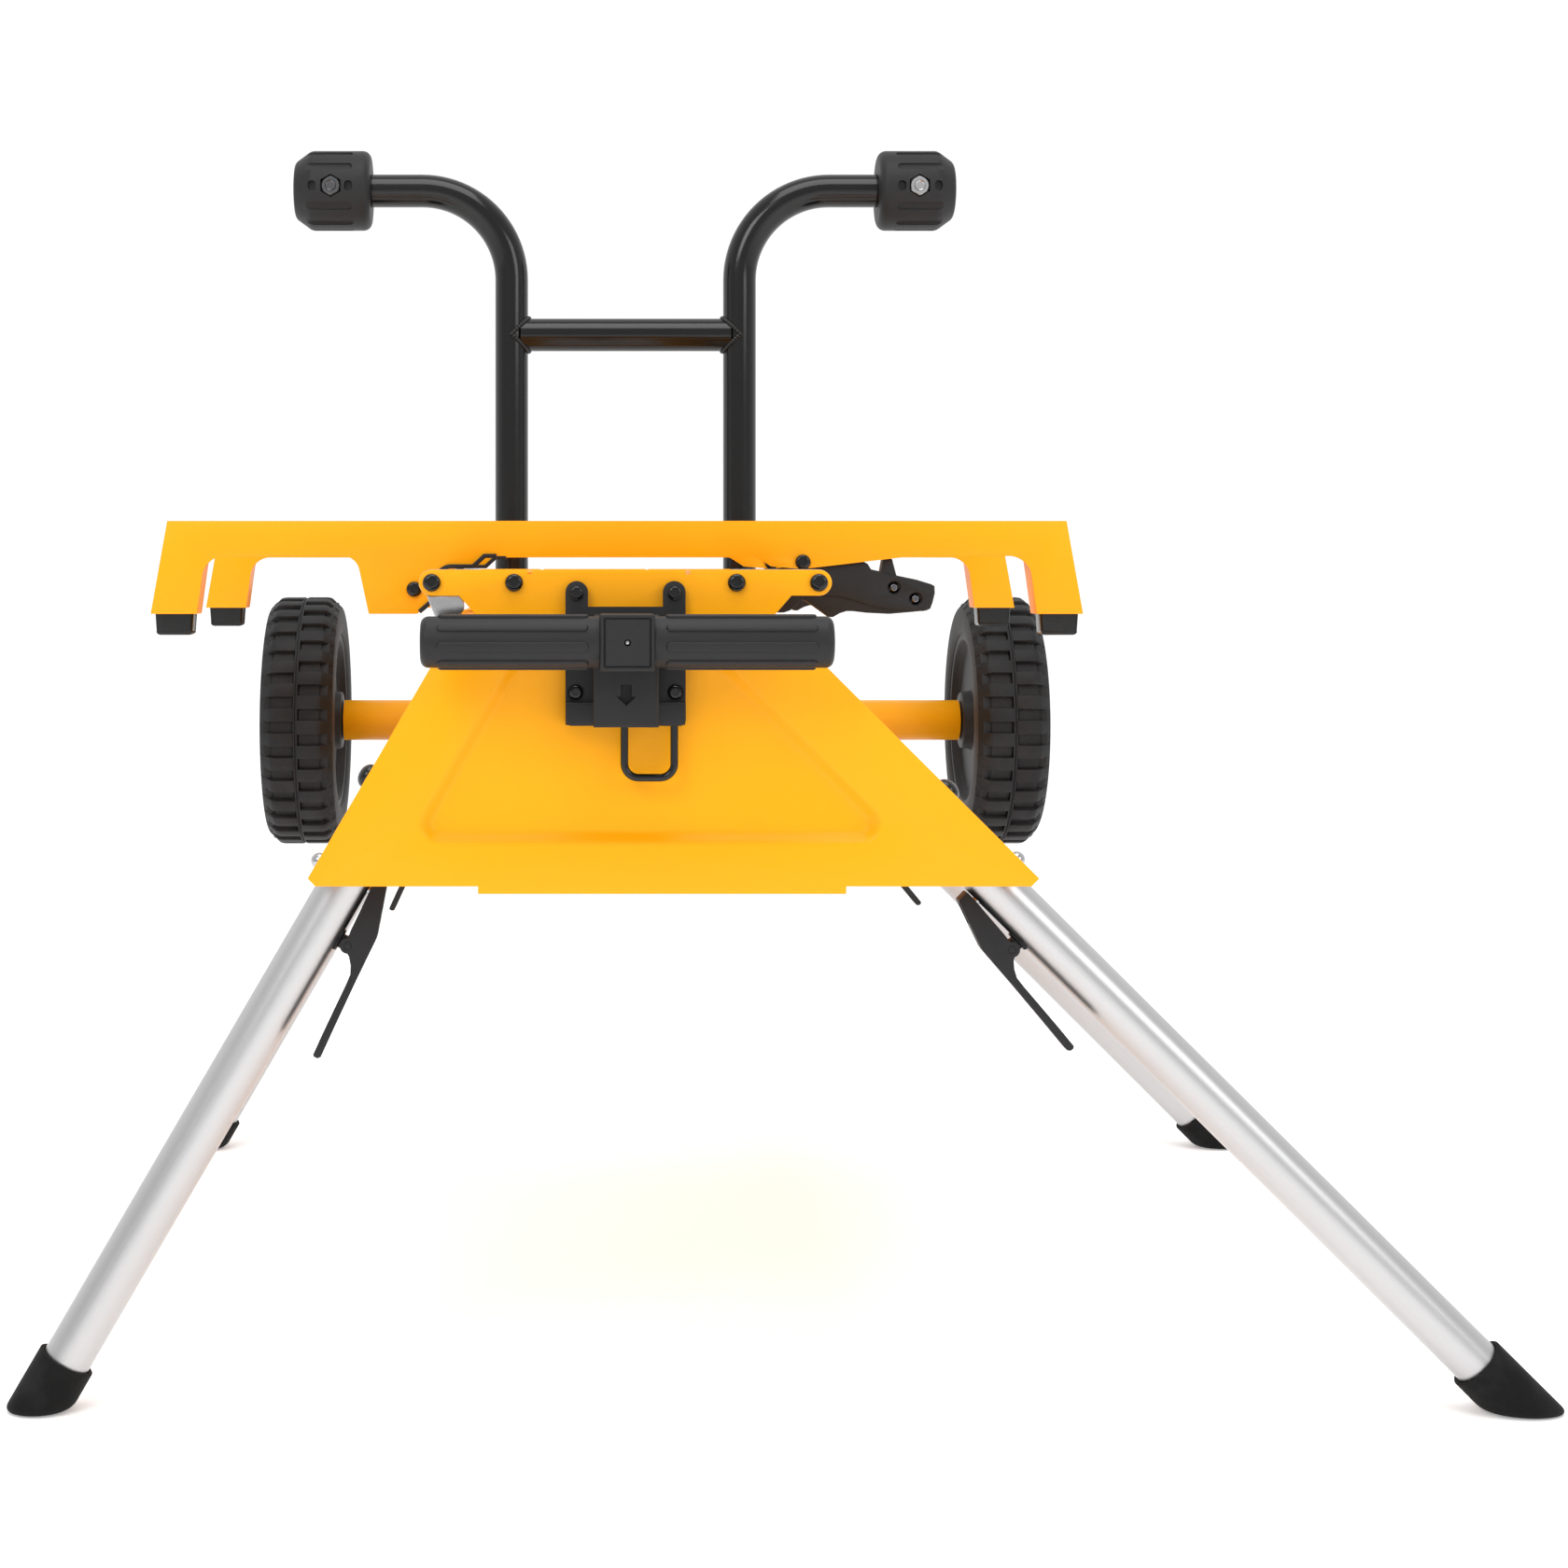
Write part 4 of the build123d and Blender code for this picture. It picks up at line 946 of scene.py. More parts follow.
@dataclass
class Studio:
    """Camera, floor and soft light of the picture."""

    eye: tuple[float, float, float] = (-37.5, -1650.0, 547.0)
    lens: float = 59.4
    sensor: float = 36.0
    shift_right: float = 0.1387
    shift_up: float = -0.1381
    far: float = 60.0
    floor_gap: float = 0.5
    glow: float = 0.27
    room: tuple[float, float, float, float] = (-0.6, 0.35, 0.62, 1.05)
    aim: tuple[float, float, float] = (0.0, 0.0, 0.45)
    lamps: tuple[tuple[str, tuple[float, float, float], float, float], ...] = (
        ("key", (-1.6, -2.8, 2.4), 1.4, 32.0),
        ("fill", (2.2, -2.6, 1.8), 1.4, 20.0),
        ("top", (0.0, -0.8, 3.0), 1.8, 34.0),
    )

    def camera(self) -> None:
        """Place the camera square to the front end plate, as the photograph has it."""
        data = bpy.data.cameras.new("camera")
        data.lens = self.lens
        data.sensor_width = self.sensor
        data.shift_x = self.shift_right
        data.shift_y = self.shift_up
        data.clip_end = self.far
        camera = bpy.data.objects.new("camera", data)
        camera.location = at(*self.eye)
        camera.rotation_euler = (math.pi / 2, 0.0, 0.0)
        bpy.context.scene.collection.objects.link(camera)
        bpy.context.scene.camera = camera

    def floor(self) -> None:
        """Lay the pale floor."""
        bpy.ops.object.select_all(action="DESELECT")
        bpy.ops.mesh.primitive_plane_add(size=self.far, location=UP * (-self.floor_gap * MM))
        floor = bpy.context.object
        floor.name = "floor"
        graph = Graph.of_finish("pale_floor")
        graph.set(
            Base_Color=(0.97, 0.97, 0.97), Roughness=0.8, Specular_IOR_Level=0.0,
            Emission_Color=(1.0, 1.0, 1.0), Emission_Strength=self.glow,
        )
        floor.data.materials.append(graph.owner)

    def lamp(self, name: str, place: Sequence[float], size: float, power: float) -> None:
        """Hang one soft square lamp that faces the stand.

        Args:
            name: Name of the lamp.
            place: Its place in metres.
            size: Width of the square in metres.
            power: Power in watts.
        """
        data = bpy.data.lights.new(name, "AREA")
        data.size = size
        data.energy = power
        lamp = bpy.data.objects.new(name, data)
        lamp.location = place
        aim = Vector(self.aim) - Vector(place)
        lamp.rotation_euler = aim.to_track_quat("-Z", "Y").to_euler()
        bpy.context.scene.collection.objects.link(lamp)

    def light(self) -> None:
        """Light the room from all round, with a key, a fill and a top lamp."""
        graph = Graph.of_world("studio")
        way = graph.node("ShaderNodeTexCoord", {}, {}, "Generated")
        depth = graph.node("ShaderNodeSeparateXYZ", {}, {0: way}, "Y")
        limits = dict(zip(("From Min", "From Max", "To Min", "To Max"), self.room))
        strength = graph.node("ShaderNodeMapRange", {}, {"Value": depth, **limits})
        graph.set(Color=(1.0, 1.0, 1.0), Strength=strength)
        bpy.context.scene.world = graph.owner
        for name, place, size, power in self.lamps:
            self.lamp(name, place, size, power)

    def build(self) -> None:
        """Set up the whole studio."""
        self.camera()
        self.floor()
        self.light()
        bpy.context.scene.view_settings.view_transform = "Standard"


# Screws, nuts and domes


@dataclass(frozen=True)
class PanScrew:
    """A pan head with a six-lobed recess, made along +Z with its seat at the origin."""

    radius: float
    height: float
    rounding: float = 0.75
    lobe: float = 0.5
    valley: float = 0.72
    depth: float = 0.6

    def model(self, name: str) -> Piece:
        """Return one head.

        Args:
            name: Name of the piece.

        Returns:
            The head.
        """
        top = UP * (self.height * MM)
        floor = UP * (self.height * MM * (1 - self.depth))
        head = Piece.rod(name, Vector(), top, self.radius * MM, sides=40)
        head.pick(Kind.EDGE, within(Axis.Z, self.height * MM * 0.9))
        head.bevel(self.height * MM * self.rounding, 5, 0.55)
        lobes = Piece.rod("lobes", floor, top * 1.5, self.radius * self.lobe * MM, sides=12)
        lobes.pick(Kind.CORNER, lambda v: round(math.degrees(math.atan2(v.co.y, v.co.x)) / 30) % 2 == 0)
        lobes.grow((self.valley, self.valley, 1.0))
        return head.cut(lobes)


@dataclass(frozen=True)
class HexNut:
    """A hexagon nut with chamfered corners and its bolt's end, made along +Z from the origin."""

    flats: float
    height: float
    bolt: float

    def model(self, name: str) -> Piece:
        """Return one nut.

        Args:
            name: Name of the piece.

        Returns:
            The nut and the bolt's end as one piece.
        """
        corner = self.flats / math.sqrt(3) * MM
        high = UP * (self.height * MM)
        nut = Piece.rod(name, Vector(), high, corner, sides=6)
        turned = Piece.rod("turned", Vector(), high, corner * 1.02)
        turned.pick(Kind.EDGE, within(Axis.Z, high.z * 0.9)).bevel(corner * 0.16, 1)
        nut.meet(turned)
        nut.cut(Piece.rod("bore", -high, high * 2, (self.bolt / 2 + 0.5) * MM, sides=32))
        bolt = Piece.rod("bolt", Vector(), high * 1.05, self.bolt / 2 * MM, sides=32)
        bolt.pick(Kind.FACE, looks(UP)).terrace([(self.bolt * 0.1, -self.bolt * 0.08)])
        return nut.join(bolt)


@dataclass(frozen=True)
class Dome:
    """A domed head on a thin rim, made along +Z with its seat at the origin."""

    radius: float
    height: float
    rim: float
    shank: float
    grip: float

    def model(self, name: str) -> Piece:
        """Return one head with its shank.

        Args:
            name: Name of the piece.

        Returns:
            The head and the shank as one piece.
        """
        shank = [(0.0, -self.grip), (self.shank, -self.grip), (self.shank, 0.0), (self.radius * 0.96, 0.0)]
        dome = arc((0.0, self.rim), (self.radius, self.height - self.rim), 0, 90, 10)
        return Piece.turned(name, [*shank, *dome])


# Knobs, pull handle and wheels


@dataclass
class HornKnob:
    """A moulded knob at the end of a horn, with finger slots and a nut sunk in its front."""

    side: Side
    outer: float
    nut_finish: bpy.types.Material
    along: float = 871.0
    height: float = 913.8
    length: float = 73.5
    radius: float = 38.5
    chamfer_run: float = 15.7
    chamfer_drop: float = 11.4
    chamfer_round: float = 3.0
    end_steps: Profile = ((6.0, 0.8), (9.0, 0.5))
    inner_round: float = 8.0
    slot_reach: tuple[float, float] = (2.0, 57.0)
    slot_width: float = 7.4
    slot_depth: float = 2.3
    slot_corner: float = 3.5
    slot_turn: int = 30
    pocket_reaches: Profile = ((14.9, 22.2), (49.8, 57.4))
    pocket_width: float = 9.6
    pocket_depth: float = 5.0
    pocket_corner: float = 3.4
    bolt_in: float = 36.7
    nut_well: tuple[float, float] = (11.2, 7.0)
    nut_seat: float = 6.9
    nut: HexNut = HexNut(flats=16.6, height=6.4, bolt=9.6)
    head_well: tuple[float, float] = (10.5, 6.0)
    head: PanScrew = PanScrew(radius=8.5, height=4.8)

    def spot(self, inward: float, forward: float = 0.0, up: float = 0.0) -> Vector:
        """Return a point by its distance in from the outer end, and before and above the axis."""
        return at(self.outer - self.side.sign * inward, self.along - forward, self.height + up)

    def shell(self) -> Piece:
        """Return the turned shape of the knob, before its slots.

        Returns:
            The knob.
        """
        start, end = self.spot(self.length), self.spot(self.chamfer_run)
        inner, edge_in, outer = start.x, end.x, self.spot(0.0).x
        knob = Piece.rod("knob", start, end, self.radius * MM, sides=96)
        small = (self.radius - self.chamfer_drop) / self.radius
        knob.pick(Kind.FACE, lambda face: abs(face.calc_center_median().x - edge_in) < CLOSE)
        knob.extrude(Vector((outer - edge_in, 0, 0))).grow((small, small, small))
        for width, swell in self.end_steps:
            knob.inset(width * MM).move(ACROSS * (self.side.sign * swell * MM))
        knob.pick(Kind.EDGE, lies_at(Axis.X, inner)).bevel(self.inner_round * MM, 6)
        for place in (edge_in, outer):
            knob.pick(Kind.EDGE, both(lies_at(Axis.X, place), self.rim))
            knob.bevel(self.chamfer_round * MM, 4)
        return knob.outward()

    def rim(self, edge: bmesh.types.BMEdge) -> bool:
        """Return whether an edge is on the knob's outline and not on its end face.

        Args:
            edge: One of the knob's edges.

        Returns:
            Whether both its ends are as far out as the outline.
        """
        centre = self.spot(0)
        least = (self.radius - self.chamfer_drop - 0.5) * MM
        return all(math.hypot(v.co.y - centre.y, v.co.z - centre.z) > least for v in edge.verts)

    def slot(self, reach: tuple[float, float], width: float, depth: float, corner: float) -> Piece:
        """Return the tool of a slot along the top of the knob.

        Args:
            reach: Where it begins and ends, in from the outer end.
            width: Its width.
            depth: Its depth below the skin.
            corner: Radius of its corners seen from above.

        Returns:
            The tool.
        """
        low = self.spot(reach[0], -width / 2, self.radius - depth)
        tool = Piece.block("slot", low, self.spot(reach[1], width / 2, self.radius + 6))
        tool.pick(Kind.EDGE, spans(Axis.Z, 1 * MM)).bevel(corner * MM, 6)
        tool.pick(Kind.EDGE, within(Axis.Z, high=low.z + CLOSE))
        return tool.bevel(min(1.6, depth * 0.6) * MM, 3)

    def slots(self) -> Piece:
        """Return the tool of all slots and pockets of the knob.

        Returns:
            The tool.
        """
        front = [about(self.spot(0), "X", angle) for angle in (90, 270)]
        rest = (angle for angle in range(0, 360, self.slot_turn) if angle not in (90, 270))
        turns = [about(self.spot(0), "X", angle) for angle in rest]
        tool = self.slot(self.slot_reach, self.slot_width, self.slot_depth, self.slot_corner).array(turns)
        for reach in self.pocket_reaches:
            pocket = self.slot(reach, self.pocket_width, self.pocket_depth, self.pocket_corner)
            tool.join(pocket.array(front))
        return tool

    def build(self, wardrobe: "Wardrobe") -> None:
        """Build the knob and its bolt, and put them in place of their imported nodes.

        Args:
            wardrobe: The stand's finishes.
        """
        name = self.side.value
        skin, back = self.spot(self.bolt_in, self.radius), self.spot(self.bolt_in, -self.radius)
        knob = self.shell()
        knob.cut(self.slots(), keep_overlap=True)
        for point, way, sides, (radius, depth) in (
            (skin, AHEAD, 6, self.nut_well), (back, -AHEAD, 48, self.head_well),
        ):
            well = Piece.rod("well", UP * (-depth * MM), UP * (9 * MM), radius * MM, sides)
            knob.cut(well.array([facing(point, way)]))
        knob.finish(f"{name}_knob", wardrobe.plastic, "black_plastic", "frame", f"{name}_horn_knob")
        nut = self.nut.model("nut").array([facing(skin - AHEAD * self.nut_seat * MM, AHEAD)])
        nut.finish(f"{name}_knob_nut", self.nut_finish, "bright_steel", "frame")
        seat = self.spot(self.bolt_in, self.head_well[1] - self.radius)
        head = self.head.model("head").array([facing(seat, -AHEAD)])
        head.finish(f"{name}_knob_bolt", wardrobe.gloss_black, "black_gloss_steel", "frame")


@dataclass
class PullHandle:
    """The tee at the end of the pull stem: a square hub between two ribbed grips."""

    along: float = -45.0
    height: float = 500.7
    half_length: float = 128.0
    hub_half: float = 16.8
    hub_side: float = 35.0
    hub_round: float = 1.1
    hub_steps: Profile = ((0.9, 0.0), (0.7, -0.8), (0.8, 0.9), (5.0, 0.35), (6.0, 0.15))
    hole: tuple[float, float, float] = (-6.0, 4.0, 2.1)
    pin: tuple[float, float, float] = (-8.0, -3.0, 1.7)
    pin_round: float = 0.6
    barrel: float = 16.0
    ribs: int = 8
    rib_rise: float = 1.3
    rib_width: float = 6.0
    rib_corner: float = 2.9
    rib_round: float = 1.1
    rib_turn: float = -9.0
    rib_reach: tuple[float, float] = (24.0, 117.5)
    end_round: float = 4.8

    def spot(self, across: float, forward: float = 0.0, up: float = 0.0) -> Vector:
        """Return a point by its distance across, and in front of and above the grips' axis."""
        return at(across, self.along - forward, self.height + up)

    def rib(self, side: Side) -> Piece:
        """Return one rib at the top of a grip.

        Args:
            side: Which grip.

        Returns:
            The rib.
        """
        inner, outer = sorted(side.sign * reach for reach in self.rib_reach)
        low = self.spot(inner, -self.rib_width / 2, self.barrel - 2)
        high = self.spot(outer, self.rib_width / 2, self.barrel + self.rib_rise)
        rib = Piece.block("rib", low, high).outward()
        rib.pick(Kind.EDGE, spans(Axis.Z, 1 * MM)).bevel(self.rib_corner * MM, 6)
        return rib.pick(Kind.EDGE, lies_at(Axis.Z, high.z)).bevel(self.rib_round * MM, 4)

    def grip(self, side: Side, finish: bpy.types.Material) -> None:
        """Build one grip with its ribs.

        Args:
            side: Which grip.
            finish: Its finish.
        """
        name = side.value
        start, end = self.spot(side.sign * (self.hub_half + 0.3)), self.spot(side.sign * self.half_length)
        barrel = Piece.rod("barrel", start, end, self.barrel * MM, sides=80)
        barrel.pick(Kind.EDGE, lies_at(Axis.X, end.x)).bevel(self.end_round * MM, 7)
        turns = [90 - self.rib_turn + 360 / self.ribs * turn for turn in range(self.ribs)]
        barrel.join(self.rib(side).array([about(self.spot(0), "X", turn) for turn in turns]))
        barrel.outward()
        barrel.finish(f"{name}_ribbed_grip", finish, "black_plastic", "pull_handle", f"{name}_grip")

    def stud(self, start: float, end: float, radius: float) -> Piece:
        """Return a rod between two places in front of the middle of the hub's face."""
        face = self.hub_side / 2
        return Piece.rod("stud", self.spot(0, face + start), self.spot(0, face + end), radius * MM, 24)

    def hub(self, wardrobe: "Wardrobe") -> None:
        """Build the square hub with its framed face and pin.

        Args:
            wardrobe: The stand's finishes.
        """
        half = self.hub_side / 2
        corner = self.spot(self.hub_half, half, half)
        hub = Piece.block("hub", self.spot(-self.hub_half, -half, -half), corner)
        hub.outward()
        hub.whole(Kind.EDGE).bevel(self.hub_round * MM, 3)
        least = (self.hub_half * MM) ** 2
        hub.pick(Kind.FACE, both(looks(AHEAD, 0.99), lambda face: face.calc_area() > least))
        hub.terrace(self.hub_steps)
        hub.cut(self.stud(*self.hole))
        pin = self.stud(*self.pin)
        pin.round(self.pin_round * MM, 3)
        hub.finish("tee_hub", wardrobe.plastic, "black_plastic", "pull_handle", "handle_hub")
        pin.finish("tee_pin", wardrobe.zinc, "bright_steel", "pull_handle")

    def build(self, wardrobe: "Wardrobe") -> None:
        """Build both grips and the hub.

        Args:
            wardrobe: The stand's finishes.
        """
        for side in Side:
            self.grip(side, wardrobe.plastic)
        self.hub(wardrobe)


@dataclass
class Wheel:
    """A solid tyre with two staggered rows of lugs on a moulded wheel."""

    side: Side
    reach: float
    along: float = 818.0
    height: float = 401.5
    radius: float = 117.0
    width: float = 68.0
    tread_base: float = 111.5
    rim: float = 82.0
    lugs: int = 32
    lug_share: float = 0.55
    lug_profile: Profile = (
        (1.6, 9.5), (33.0, 15.5), (33.6, 14.0), (32.6, 9.5), (23.5, 0.8), (20.0, 0.0), (1.6, 0.0),
    )
    lug_root: float = 15.0
    lug_round: float = 0.8
    ties: tuple[tuple[float, float, float, float], ...] = ((3.2, 21.5, -3.0, 1.5), (23.6, 29.0, -8.0, 0.4))
    hub_profile: Profile = (
        (34.0, 6.1), (34.0, 24.6), (33.3, 26.3), (31.5, 27.0), (25.5, 27.4), (23.4, 28.6), (22.5, 31.0),
        (22.5, 70.0), (23.4, 73.6), (26.0, 75.6), (29.5, 76.2), (30.6, 76.9), (31.0, 78.2),
    )
    hub_half: float = 31.0

    def spot(self, across: float = 0.0, back: float = 0.0, up: float = 0.0) -> Vector:
        """Return a point by its distance from the middle of the wheel."""
        return at(self.reach + across, self.along + back, self.height + up)

    def turned(self, name: str, half: Profile) -> Piece:
        """Turn half an outline and its mirror image, as distances across and radii, about the axle."""
        points = [self.spot(across, 0, radius) for across, radius in mirrored(half)]
        return Piece.spun(name, points, self.spot(), ACROSS, 96)

    def lug(self) -> Piece:
        """Return one lug of the row on the right, at the top of the wheel.

        Returns:
            The lug.
        """
        half = math.pi * self.radius / self.lugs * self.lug_share
        points = [self.spot(across, -half, self.radius - drop) for across, drop in self.lug_profile]
        lug = Piece.slab("lug", points, BEHIND * (2 * half * MM))
        lug.pick(Kind.EDGE, within(Axis.Z, self.spot(0, 0, self.radius - self.lug_root).z))
        return lug.bevel(self.lug_round * MM, 2)

    def tie(self) -> Piece:
        """Return the low blocks at the floor of one slot of the row on the right.

        Returns:
            The blocks, as one piece.
        """
        half = math.pi * self.radius / self.lugs * (1 - self.lug_share) + 0.5
        blocks = []
        for inner, outer, low, high in self.ties:
            corner = self.spot(inner, -half, self.tread_base + low)
            blocks.append(Piece.block("tie", corner, self.spot(outer, half, self.tread_base + high)))
        return blocks[0].join(*blocks[1:]).outward()

    def tyre(self, finish: bpy.types.Material) -> None:
        """Build the tyre.

        Args:
            finish: Its finish.
        """
        half, rim, base, crest = self.width / 2, self.rim, self.tread_base, self.radius - 0.6
        body = self.turned("tyre", [
            (9 - half, rim), (2.5 - half, rim), (0.6 - half, rim + 3), (-half, rim + 10), (-half, base - 12),
            (1 - half, base - 5), (5 - half, base - 1.2), (10 - half, base), (-2.2, base), (-2.0, crest),
            (-0.5, crest), (-0.4, self.radius - 2.0),
        ])
        centre, pitch = self.spot(), 360 / self.lugs
        right = [about(centre, "X", pitch * turn) for turn in range(self.lugs)]
        over = [about(centre, "X", pitch * (turn + 0.5)) for turn in range(self.lugs)]
        swap = about(centre, "Z", 180)
        for block, near, far in ((self.lug(), right, over), (self.tie(), over, right)):
            body.join(block.array([*near, *(turn @ swap for turn in far)]))
        wheel = f"{self.side.value}_wheel"
        body.finish(f"{self.side.value}_tyre", finish, "tyre_rubber", wheel, f"{wheel}_tyre", smooth=28)

    def build(self, wardrobe: "Wardrobe") -> None:
        """Build the tyre, and the moulded wheel with a shallow dish on each side.

        Args:
            wardrobe: The stand's finishes.
        """
        self.tyre(wardrobe.tyre)
        name, wheel = self.side.value, f"{self.side.value}_wheel"
        hub = self.turned("hub", [*self.hub_profile, (self.hub_half, self.rim)])
        hub.finish(f"{name}_hub", wardrobe.plastic, "black_plastic", wheel, f"{wheel}_hub", smooth=30)


@dataclass(frozen=True)
class CarriedNode:
    """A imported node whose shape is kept, with its sharp edges eased as on the real piece."""

    node: str
    body: str
    slot: str
    width: float
    segments: int = 2
    angle: float = 28.0
    smooth: float = 40.0

    def build(self, nodes: Nodes, material: bpy.types.Material) -> None:
        """Copy the node, ease its edges and put the copy in its place.

        Args:
            nodes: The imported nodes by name.
            material: The piece's finish.
        """
        piece = Piece.of_node(self.node, nodes[self.node])
        piece.round(self.width * MM, self.segments, self.angle)
        piece.finish(f"{self.node}_eased", material, self.slot, self.body, self.node, smooth=self.smooth)


# Body


@dataclass(frozen=True)
class Flank:
    """One slanted side of the body: its slant, its leg pivots and how far its boots reach up."""

    side: Side
    splay: float
    reach: float
    height: float
    collar: float

    def edge(self, height: float) -> float:
        """Return how far across the side's outer face lies at a height."""
        return self.side.sign * (self.reach - (height - self.height) * math.tan(math.radians(self.splay)))

    def outward(self) -> Vector:
        """Return the side's outward normal."""
        slant = math.radians(self.splay)
        return Vector((self.side.sign * math.cos(slant), 0, math.sin(slant)))

    def down(self) -> Vector:
        """Return the way down the slant."""
        slant = math.radians(self.splay)
        return Vector((self.side.sign * math.sin(slant), 0, -math.cos(slant)))


FLANKS = {
    Side.LEFT: Flank(Side.LEFT, 30.2, 167.5, 409.0, 36.5),
    Side.RIGHT: Flank(Side.RIGHT, 45.1, 213.0, 399.5, 43.6),
}


@dataclass
class EndPlate:
    """A pressed end plate: ears for the rods, a dished panel, a lower tongue and bent flanges."""

    end: End
    along: float
    rod_height: float = 537.3
    rod_reach: float = 123.5
    ear: float = 8.3
    gusset: float = 106.0
    neck: float = 96.0
    neck_height: float = 517.5
    bottom: float = 343.5
    corner: float = 5.0
    tongue: tuple[float, float] = (-94.0, 141.0)
    tongue_drop: float = 4.8
    notches: tuple[float, float] = (-61.0, 40.0)
    notch: float = 1.5
    notch_drop: float = 3.0
    dish_inset: float = 41.2
    dish_top: float = 494.8
    dish_bottom: float = 369.7
    dish_corner: float = 14.0
    dish_parts: int = 10
    dish_steps: Profile = (
        (0.9, -0.2), (1.2, -0.7), (1.6, -1.45), (2.2, -2.2), (1.6, -1.45), (1.2, -0.7), (0.9, -0.2),
    )
    sheet: float = 2.0
    flange: float = 14.0
    bore: float = 12.8
    bore_height: float = 500.7
    bolt_reach: tuple[float, ...] = (-123.5, -71.0, 71.0, 123.5)
    bolt_turn: float = 17.0
    edge_round: float = 0.45
    bolt: PanScrew = PanScrew(radius=5.75, height=4.0)

    @property
    def way(self) -> float:
        """Return 1 where the body lies behind the plate and -1 where it lies in front."""
        return 1.0 if self.end is End.NEAR else -1.0

    @property
    def foot(self) -> float:
        """Return the height of the tongue's lower edge."""
        return self.bottom - self.tongue_drop

    def spot(self, across: float, height: float, deep: float = 0.0) -> Vector:
        """Return a point on the outer face, or so far behind it."""
        return at(across, self.along + self.way * deep, height)

    def ear_arc(self, side: Side) -> Profile:
        """Return the round end of an ear, from its underside to its top."""
        centre = (side.sign * self.rod_reach, self.rod_height)
        return arc(centre, (side.sign * self.ear, self.ear), -90, 90, 12)

    def outline(self) -> list[Vector]:
        """Return the plate's outer contour.

        Returns:
            The points of the contour, in order.
        """
        top, clip = self.rod_height + self.ear, self.bottom + self.corner
        left, right = FLANKS[Side.LEFT], FLANKS[Side.RIGHT]
        points = list(self.ear_arc(Side.LEFT))
        for middle in self.notches:
            start, end, low = middle - self.notch, middle + self.notch, top - self.notch_drop
            points += [(start, top), (start, low), (end, low), (end, top)]
        points += reversed(self.ear_arc(Side.RIGHT))
        points += [(self.gusset, self.rod_height - self.ear), (self.neck, self.neck_height)]
        points += [(right.edge(self.neck_height), self.neck_height - 0.5), (right.edge(clip), clip)]
        points += [(right.edge(clip) - self.corner, self.bottom), (self.tongue[1], self.bottom)]
        points += [(self.tongue[1], self.foot), (self.tongue[0], self.foot)]
        points += [(self.tongue[0], self.bottom), (left.edge(clip) + self.corner, self.bottom)]
        points += [(left.edge(clip), clip), (left.edge(self.neck_height), self.neck_height)]
        points += [(-self.neck, self.neck_height), (-self.gusset, self.rod_height - self.ear)]
        return [self.spot(*point) for point in points]

    def dish(self) -> Piece:
        """Return the flat start of the dished panel, with its corners rounded.

        Returns:
            The start of the dish, as a flat piece.
        """
        corners, points = [], []
        for side, height in (
            (Side.LEFT, self.dish_top), (Side.LEFT, self.dish_bottom),
            (Side.RIGHT, self.dish_bottom), (Side.RIGHT, self.dish_top),
        ):
            flank = FLANKS[side]
            inset = self.dish_inset / math.cos(math.radians(flank.splay))
            corners.append(self.spot(flank.edge(height) - side.sign * inset, height))
        for before, corner, after in zip(corners[-1:] + corners, corners, corners[1:] + corners[:1]):
            back, ahead = (before - corner).normalized(), (after - corner).normalized()
            half = back.angle(ahead) / 2
            centre = corner + (back + ahead).normalized() * (self.dish_corner * MM / math.sin(half))
            arm = corner + back * (self.dish_corner * MM / math.tan(half)) - centre
            turn = Matrix.Rotation((math.pi - 2 * half) / self.dish_parts, 3, arm.cross(-back))
            for _ in range(self.dish_parts + 1):
                points.append(centre + arm)
                arm = turn @ arm
        return Piece.outline("dish", points)

    def pressing(self) -> Piece:
        """Return the sheet with its dished panel pressed in.

        Returns:
            The sheet.
        """
        plate = Piece.outline("plate", self.outline())
        plate.bare().join(self.dish())
        plate.whole(Kind.EDGE)
        bpy.ops.mesh.fill(use_beauty=True)
        plate.merge()
        plate.pick(Kind.FACE, looks(AHEAD * -self.way, 0.0))
        bpy.ops.mesh.flip_normals()
        plate.pick(Kind.FACE, lambda face: len(face.verts) > 20).terrace(self.dish_steps)
        return plate.modify("SOLIDIFY", thickness=self.sheet * MM, offset=-1.0, use_even_offset=True)

    def build(self, wardrobe: "Wardrobe") -> None:
        """Build the plate and the bolts that hold it.

        Args:
            wardrobe: The stand's finishes.
        """
        plate, name, replaced = self.pressing(), "rear", ()
        if self.end is End.NEAR:
            name, replaced = "front", ("end_plate_bolts",)
            low, high = self.bore_height - self.bore, self.bore_height + self.bore
            plate.cut(Piece.block("bore", self.spot(-self.bore, low, -9), self.spot(self.bore, high, 16)))
        top = self.rod_height + self.ear
        for start, end, low, high in (
            (*self.tongue, self.foot, self.foot + self.sheet),
            (self.notches[0] + self.notch, self.notches[1] - self.notch, top - self.sheet, top),
        ):
            bend = Piece.block("bend", self.spot(start, low, 0.05), self.spot(end, high, self.flange))
            plate.join(bend.outward())
        plate.round(self.edge_round * MM, 2, 40.0)
        plate.finish(f"{name}_pressed_plate", wardrobe.yellow, "yellow_steel", "frame", f"{name}_end_plate")
        bolts = self.bolt.model("head").array([
            facing(self.spot(reach, self.rod_height), AHEAD * self.way, self.bolt_turn * reach)
            for reach in self.bolt_reach
        ])
        bolts.finish(f"{name}_plate_bolts", wardrobe.gloss_black, "black_gloss_steel", "frame", *replaced)


# Folding legs


